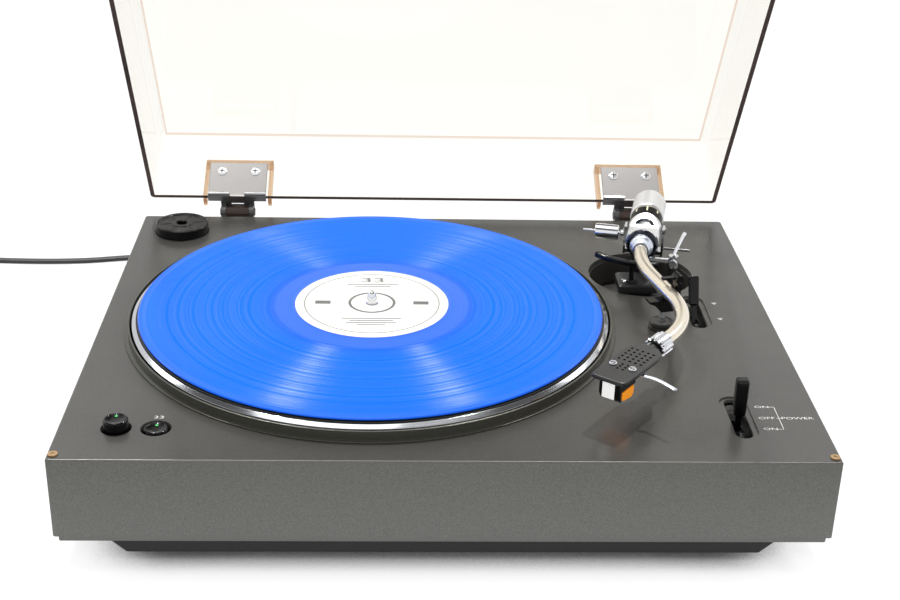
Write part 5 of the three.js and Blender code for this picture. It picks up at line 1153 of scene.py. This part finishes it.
def lift_place(angle, z):
    return Vector((-LIFT_RADIUS * math.sin(angle), -LIFT_RADIUS * math.cos(angle), z))


def add_lift_bar():
    points = [lift_place(math.radians(-16 + 56 * i / 40), 19.3) for i in range(41)]
    curved = softened(swept(points, rounded(4, 4.2, 1.2, steps=4)), 0.3, 60)
    at = lift_place(math.radians(5.5), 0)
    piece("lift_bar_fine", joined(curved, rod(1.6, -20, 19, at.x, at.y)), ARM)


def add_rest():
    base = [
        (2.3, 0.1), (8.4, 0.1), (8.4, 1.8), (7.6, 2.2), (7.6, 3.1), (8.4, 3.5), (8.4, 4.6), (7.7, 5.4),
        (6.2, 5.4), (5.8, 5.1), (2.3, 5.1),
    ]
    piece("rest_base_fine", turned(base, 64, 0.2), REST_AT, look="dark_clear")
    piece("rest_post_fine", rod(2, 0.1, 12.8), REST_AT)


def add_arm_well():
    profile = [
        (0, -26), (37.5, -26), (37.5, -5.5), (39.3, -5.5), (39.3, -3.5), (35.5, -3.5), (35.5, -24), (0, -24),
    ]
    # The well's grey is painted reflection
    piece("arm_well_fine", turned(profile, FINE), DECK @ shift(*ARM_WELL), look="well_painted_reflection")
    for index, x in enumerate((-9, 9)):
        head = turned([(0, 0), (2, 0), (2, 0.8), (0, 1.2)], 24, 0.2)
        screw = carved(head, block((-3, -0.3, 0.6), (3, 0.3, 2), SHARP))
        where = ARM @ shift(x, -47, 6.02) @ turn(PARK_ANGLE, "Z")
        piece(f"block_screw_{index}", screw, where, "arm_well", "chrome")


# Lid and hinges

LID_WIDTH, LID_DEPTH = 434.6, 351.6
LID_REAR = -9.85
LID_RIM = 5.35
LID_HEIGHT = 62
LID_DRAFT = 3
LID_WALL = 3


def lid_level(inset, z, height=None):
    """Outline of the lid, drawn in by its draft at z, and its height, which is z unless given."""
    inwards = inset + LID_DRAFT * (z - LID_RIM) / LID_HEIGHT
    width, depth = LID_WIDTH - 2 * inwards, LID_DEPTH - 2 * inwards
    outline = rounded(width, depth, max(0.6, 3.2 - inset), 0, LID_REAR - LID_DEPTH / 2, 8)
    return outline, z if height is None else height


def add_lid():
    rim, top, wall = LID_RIM, LID_RIM + LID_HEIGHT, LID_WALL
    outer = stacked([
        lid_level(0, rim), lid_level(0, top - 3.5), lid_level(0.9, top - 2), lid_level(1.7, top - 1),
        lid_level(2.2, top, top - 0.3), lid_level(3.5, top),
    ])
    inner = stacked([
        lid_level(wall, rim, rim - 4), lid_level(wall, top - 6.5), lid_level(wall + 0.5, top - 4.4),
        lid_level(wall + 1.7, top - 3),
    ])
    thing = piece("dust_cover_fine", carved(outer, inner), LID, smooth=30)
    thing.data.materials.append(LOOKS["lid_edge"])
    thing.data.materials.append(LOOKS["lid_line"])
    back = LID.inverted()
    for face in thing.data.polygons:
        down = (back.to_3x3() @ face.normal).normalized().z
        if down < -0.9 and (back @ face.center).z < rim + 1:
            face.material_index = 1
        elif -0.9 < down < -0.4:
            face.material_index = 2


def add_pockets():
    front, back, high = LID_REAR - 2.2, LID_REAR + 7, 38.9
    for name, side in SIDES:
        x = side * HINGE_X
        edges = ((x - 26, x - 23.2), (x + 23.2, x + 26))
        ribs = [block((left, front, LID_RIM), (right, back, high), 0.4) for left, right in edges]
        ribs += [block((left, LID_REAR + 0.3, 3.6), (right, back, 5.5), 0.4) for left, right in edges]
        ribs.append(block((x - 26, front, high), (x + 26, back, 41.6), 0.4))
        piece(f"hinge_pocket_{name}", joined(*ribs), LID, "dust_cover", "lid_amber")


def add_hinge_details():
    """Cross headed screws on each leaf, their cross recesses painted dark as painted shade, and a bright
    rolled edge under the rim.
    """
    for name, side in SIDES:
        leaf = f"hinge_leaf_{name}"
        roll_at = shift(side * HINGE_X, -14.9, 5.9) @ turn(90, "Y")
        rolls = [moved(rod(1.35, low, high), roll_at) for low, high in ((-22, -5.6), (5.6, 22))]
        piece(f"hinge_roll_{name}", joined(*rolls), LID, leaf, "chrome")
        for number, offset in (("a", -12.7), ("b", 12.7)):
            head = turned([(0, 0), (3.8, 0), (3.8, 0.3), (2.8, 1.1), (0, 1.3)], SMALL, 0.2)
            # Painted shade: the dark crosses stand for the shaded cross recesses in the chrome screw heads
            cross = joined(
                block((-2.1, -0.45, 0.6), (2.1, 0.45, 1.36), 0.05),
                block((-0.45, -2.1, 0.6), (0.45, 2.1, 1.38), 0.05),
            )
            at = shift(side * HINGE_X + offset, -15.4, LID_RIM + 22)
            where = LID @ at @ turn(2.7, "X") @ turn(90, "X")
            piece(f"hinge_screw_{name}_{number}", head, where, leaf, "chrome")
            piece(f"hinge_cross_{name}_{number}", cross, where, leaf, "dark_gap")


# Lead and plug

CORE = 1.4
GLAND_LENGTH = 24
COIL_AT = (-414, 388.1)
COIL_OUTER = 44.3
COIL_PITCH = 6.3
# Turns on the table, on the way up to the second layer, and in that layer
COIL_IN, COIL_CLIMB, COIL_OUT = 3.35, 0.3, 2.6
COIL_RISE = 3.4
COIL_STEPS = 36
COIL_TAIL = 34


def cord_path():
    low = CORE
    top = TOP + GLAND_Z
    rear = PLINTH_DEPTH + GLAND_LENGTH + 0.3
    x = GLAND_X
    rows = [
        (x, rear, top), (x, rear + 10, top - 0.3), (x - 0.6, rear + 20, top - 2.4),
        (x - 3, rear + 31, top - 7.4), (x - 8.5, rear + 42, low + 10.6), (x - 18, rear + 52, low + 4.4),
        (x - 32, rear + 60.5, low + 1.1), (x - 50, rear + 65.6, low), (x - 74, rear + 67, low),
        (x - 105, rear + 64, low), (-252, 435.6, low), (-286, 429, low), (-320, 426.8, low),
        (-356, 427.8, low), (-386, 430.8, low),
    ]
    coil = coil_points()
    return smooth_line([Vector(row) for row in rows] + [coil[0]], 4)[:-1] + coil


def coil_points():
    points = []
    inside = COIL_IN + COIL_CLIMB
    turns = inside + COIL_OUT
    count = round(turns * COIL_STEPS)
    for i in range(count + 1):
        at = turns * i / count
        outward = max(0, at - inside)
        radius = COIL_OUTER - COIL_PITCH * (min(at, inside) - outward - min(outward, 1))
        climb = max(0, min(1, (at - COIL_IN) / COIL_CLIMB))
        climb = climb * climb * (3 - 2 * climb)
        angle = math.pi / 2 + math.tau * at
        x = COIL_AT[0] + radius * math.cos(angle)
        y = COIL_AT[1] + radius * math.sin(angle)
        points.append(Vector((x, y, CORE + COIL_RISE * climb)))
    end = points[-1]
    return points + [end + Vector((0, -COIL_TAIL * k / 4, 0)) for k in range(1, 5)]


def flat_twin():
    """Outline of a flat twin lead: two round cores side by side."""
    points = []
    for side in (1, -1):
        for k in range(9):
            angle = math.radians(-118 + 236 * k / 8) + (0 if side == 1 else math.pi)
            points.append((side * CORE + CORE * math.cos(angle), CORE * math.sin(angle)))
    return points


def add_cord():
    path = cord_path()
    replaced = ["mains_cord", "cord_coil"]
    cord = piece("mains_cord_fine", swept(path, flat_twin()), GROUND, replaced=replaced)
    line = [GROUND @ point for point in path]
    length = sum((b - a).length for a, b in zip(line, line[1:]))
    return cord, line, length


def add_plug():
    end = coil_points()[-1]
    where = GROUND @ shift(end.x, end.y - 0.3 - 9, 4.8) @ turn(90, "X")
    body = stacked([
        (rounded(13.6, 9.6, 3), 0), (rounded(22, 9.6, 3), 6), (rounded(32.2, 9.6, 3), 17),
        (rounded(32.2, 9.6, 3), 33), (rounded(31.2, 8.6, 2.6), 34),
    ])
    neck = stacked([(rounded(6.4, 4.6, 1.6), -9), (rounded(7.2, 5.4, 1.6), -4), (rounded(8.4, 6.4, 2), 0.6)])
    piece("mains_plug_fine", joined(softened(body, 0.5, 25), neck), where)
    pin = [(0, 33), (2, 33), (2, 51.6), (1.2, 53), (0, 53)]
    pins = [moved(turned(pin, 24), shift(side * 9.3, 0)) for name, side in SIDES]
    return piece("plug_pins", joined(*pins), where, "mains_plug", "brass")


def add_gland():
    profile = [(0, -8.2), (5, -8.2), (5, 0.1), (7, 0.1), (7, 2)]
    span = GLAND_LENGTH - 2
    for k in range(6):
        z = 2 + span * k / 6
        radius = 5 - 0.8 * k / 6
        profile += [
            (radius, z), (radius, z + span / 12), (radius - 0.7, z + span / 12 + 0.3),
            (radius - 0.7, z + span / 6 - 0.3),
        ]
    profile += [(3.9, GLAND_LENGTH), (0, GLAND_LENGTH)]
    where = DECK @ shift(GLAND_X, PLINTH_DEPTH, GLAND_Z) @ turn(-90, "X")
    piece("cord_gland_fine", turned(profile, 40, 0.15), where)


# Solids that still show

NODE_LOOKS = {"power_switch": "gloss_black", "cue_bracket": "gloss_black"}
EASED_NODES = ("gimbal_yoke", "arm_base", "rest_cradle", "rest_clip", "bias_", "hinge_")


def dress_nodes():
    """Every solid gets the look of its slot or one of its own, and those that show get eased edges."""
    for name, thing in frame["nodes"].items():
        thing.data.materials.clear()
        thing.data.materials.append(LOOKS[NODE_LOOKS.get(name, SLOT_OF[name])])
        if name.startswith(EASED_NODES):
            bevel = thing.modifiers.new("ease", "BEVEL")
            bevel.width = 0.25 * MM
            bevel.segments = 2
            bevel.limit_method = "ANGLE"
            bevel.angle_limit = math.radians(38)
            bevel.harden_normals = False


def main():
    bpy.context.scene.view_settings.view_transform = "Standard"
    add_camera()
    dress_nodes()
    cord, line, length = add_cord()
    plug = add_plug()
    for add in (
        add_gland, add_world, add_floor, add_lamps, add_plinth, add_collar, add_bumpers, add_platter,
        add_record, add_label_print, add_spindle, add_adapter, add_buttons, add_levers, add_prints, add_tube,
        add_housing, add_bell, add_weight, add_side_balance, add_lock, add_shell, add_head_screws,
        add_finger_lift, add_cartridge, add_lift_bar, add_rest, add_arm_well, add_lid, add_pockets,
        add_hinge_details,
    ):
        add()


main()
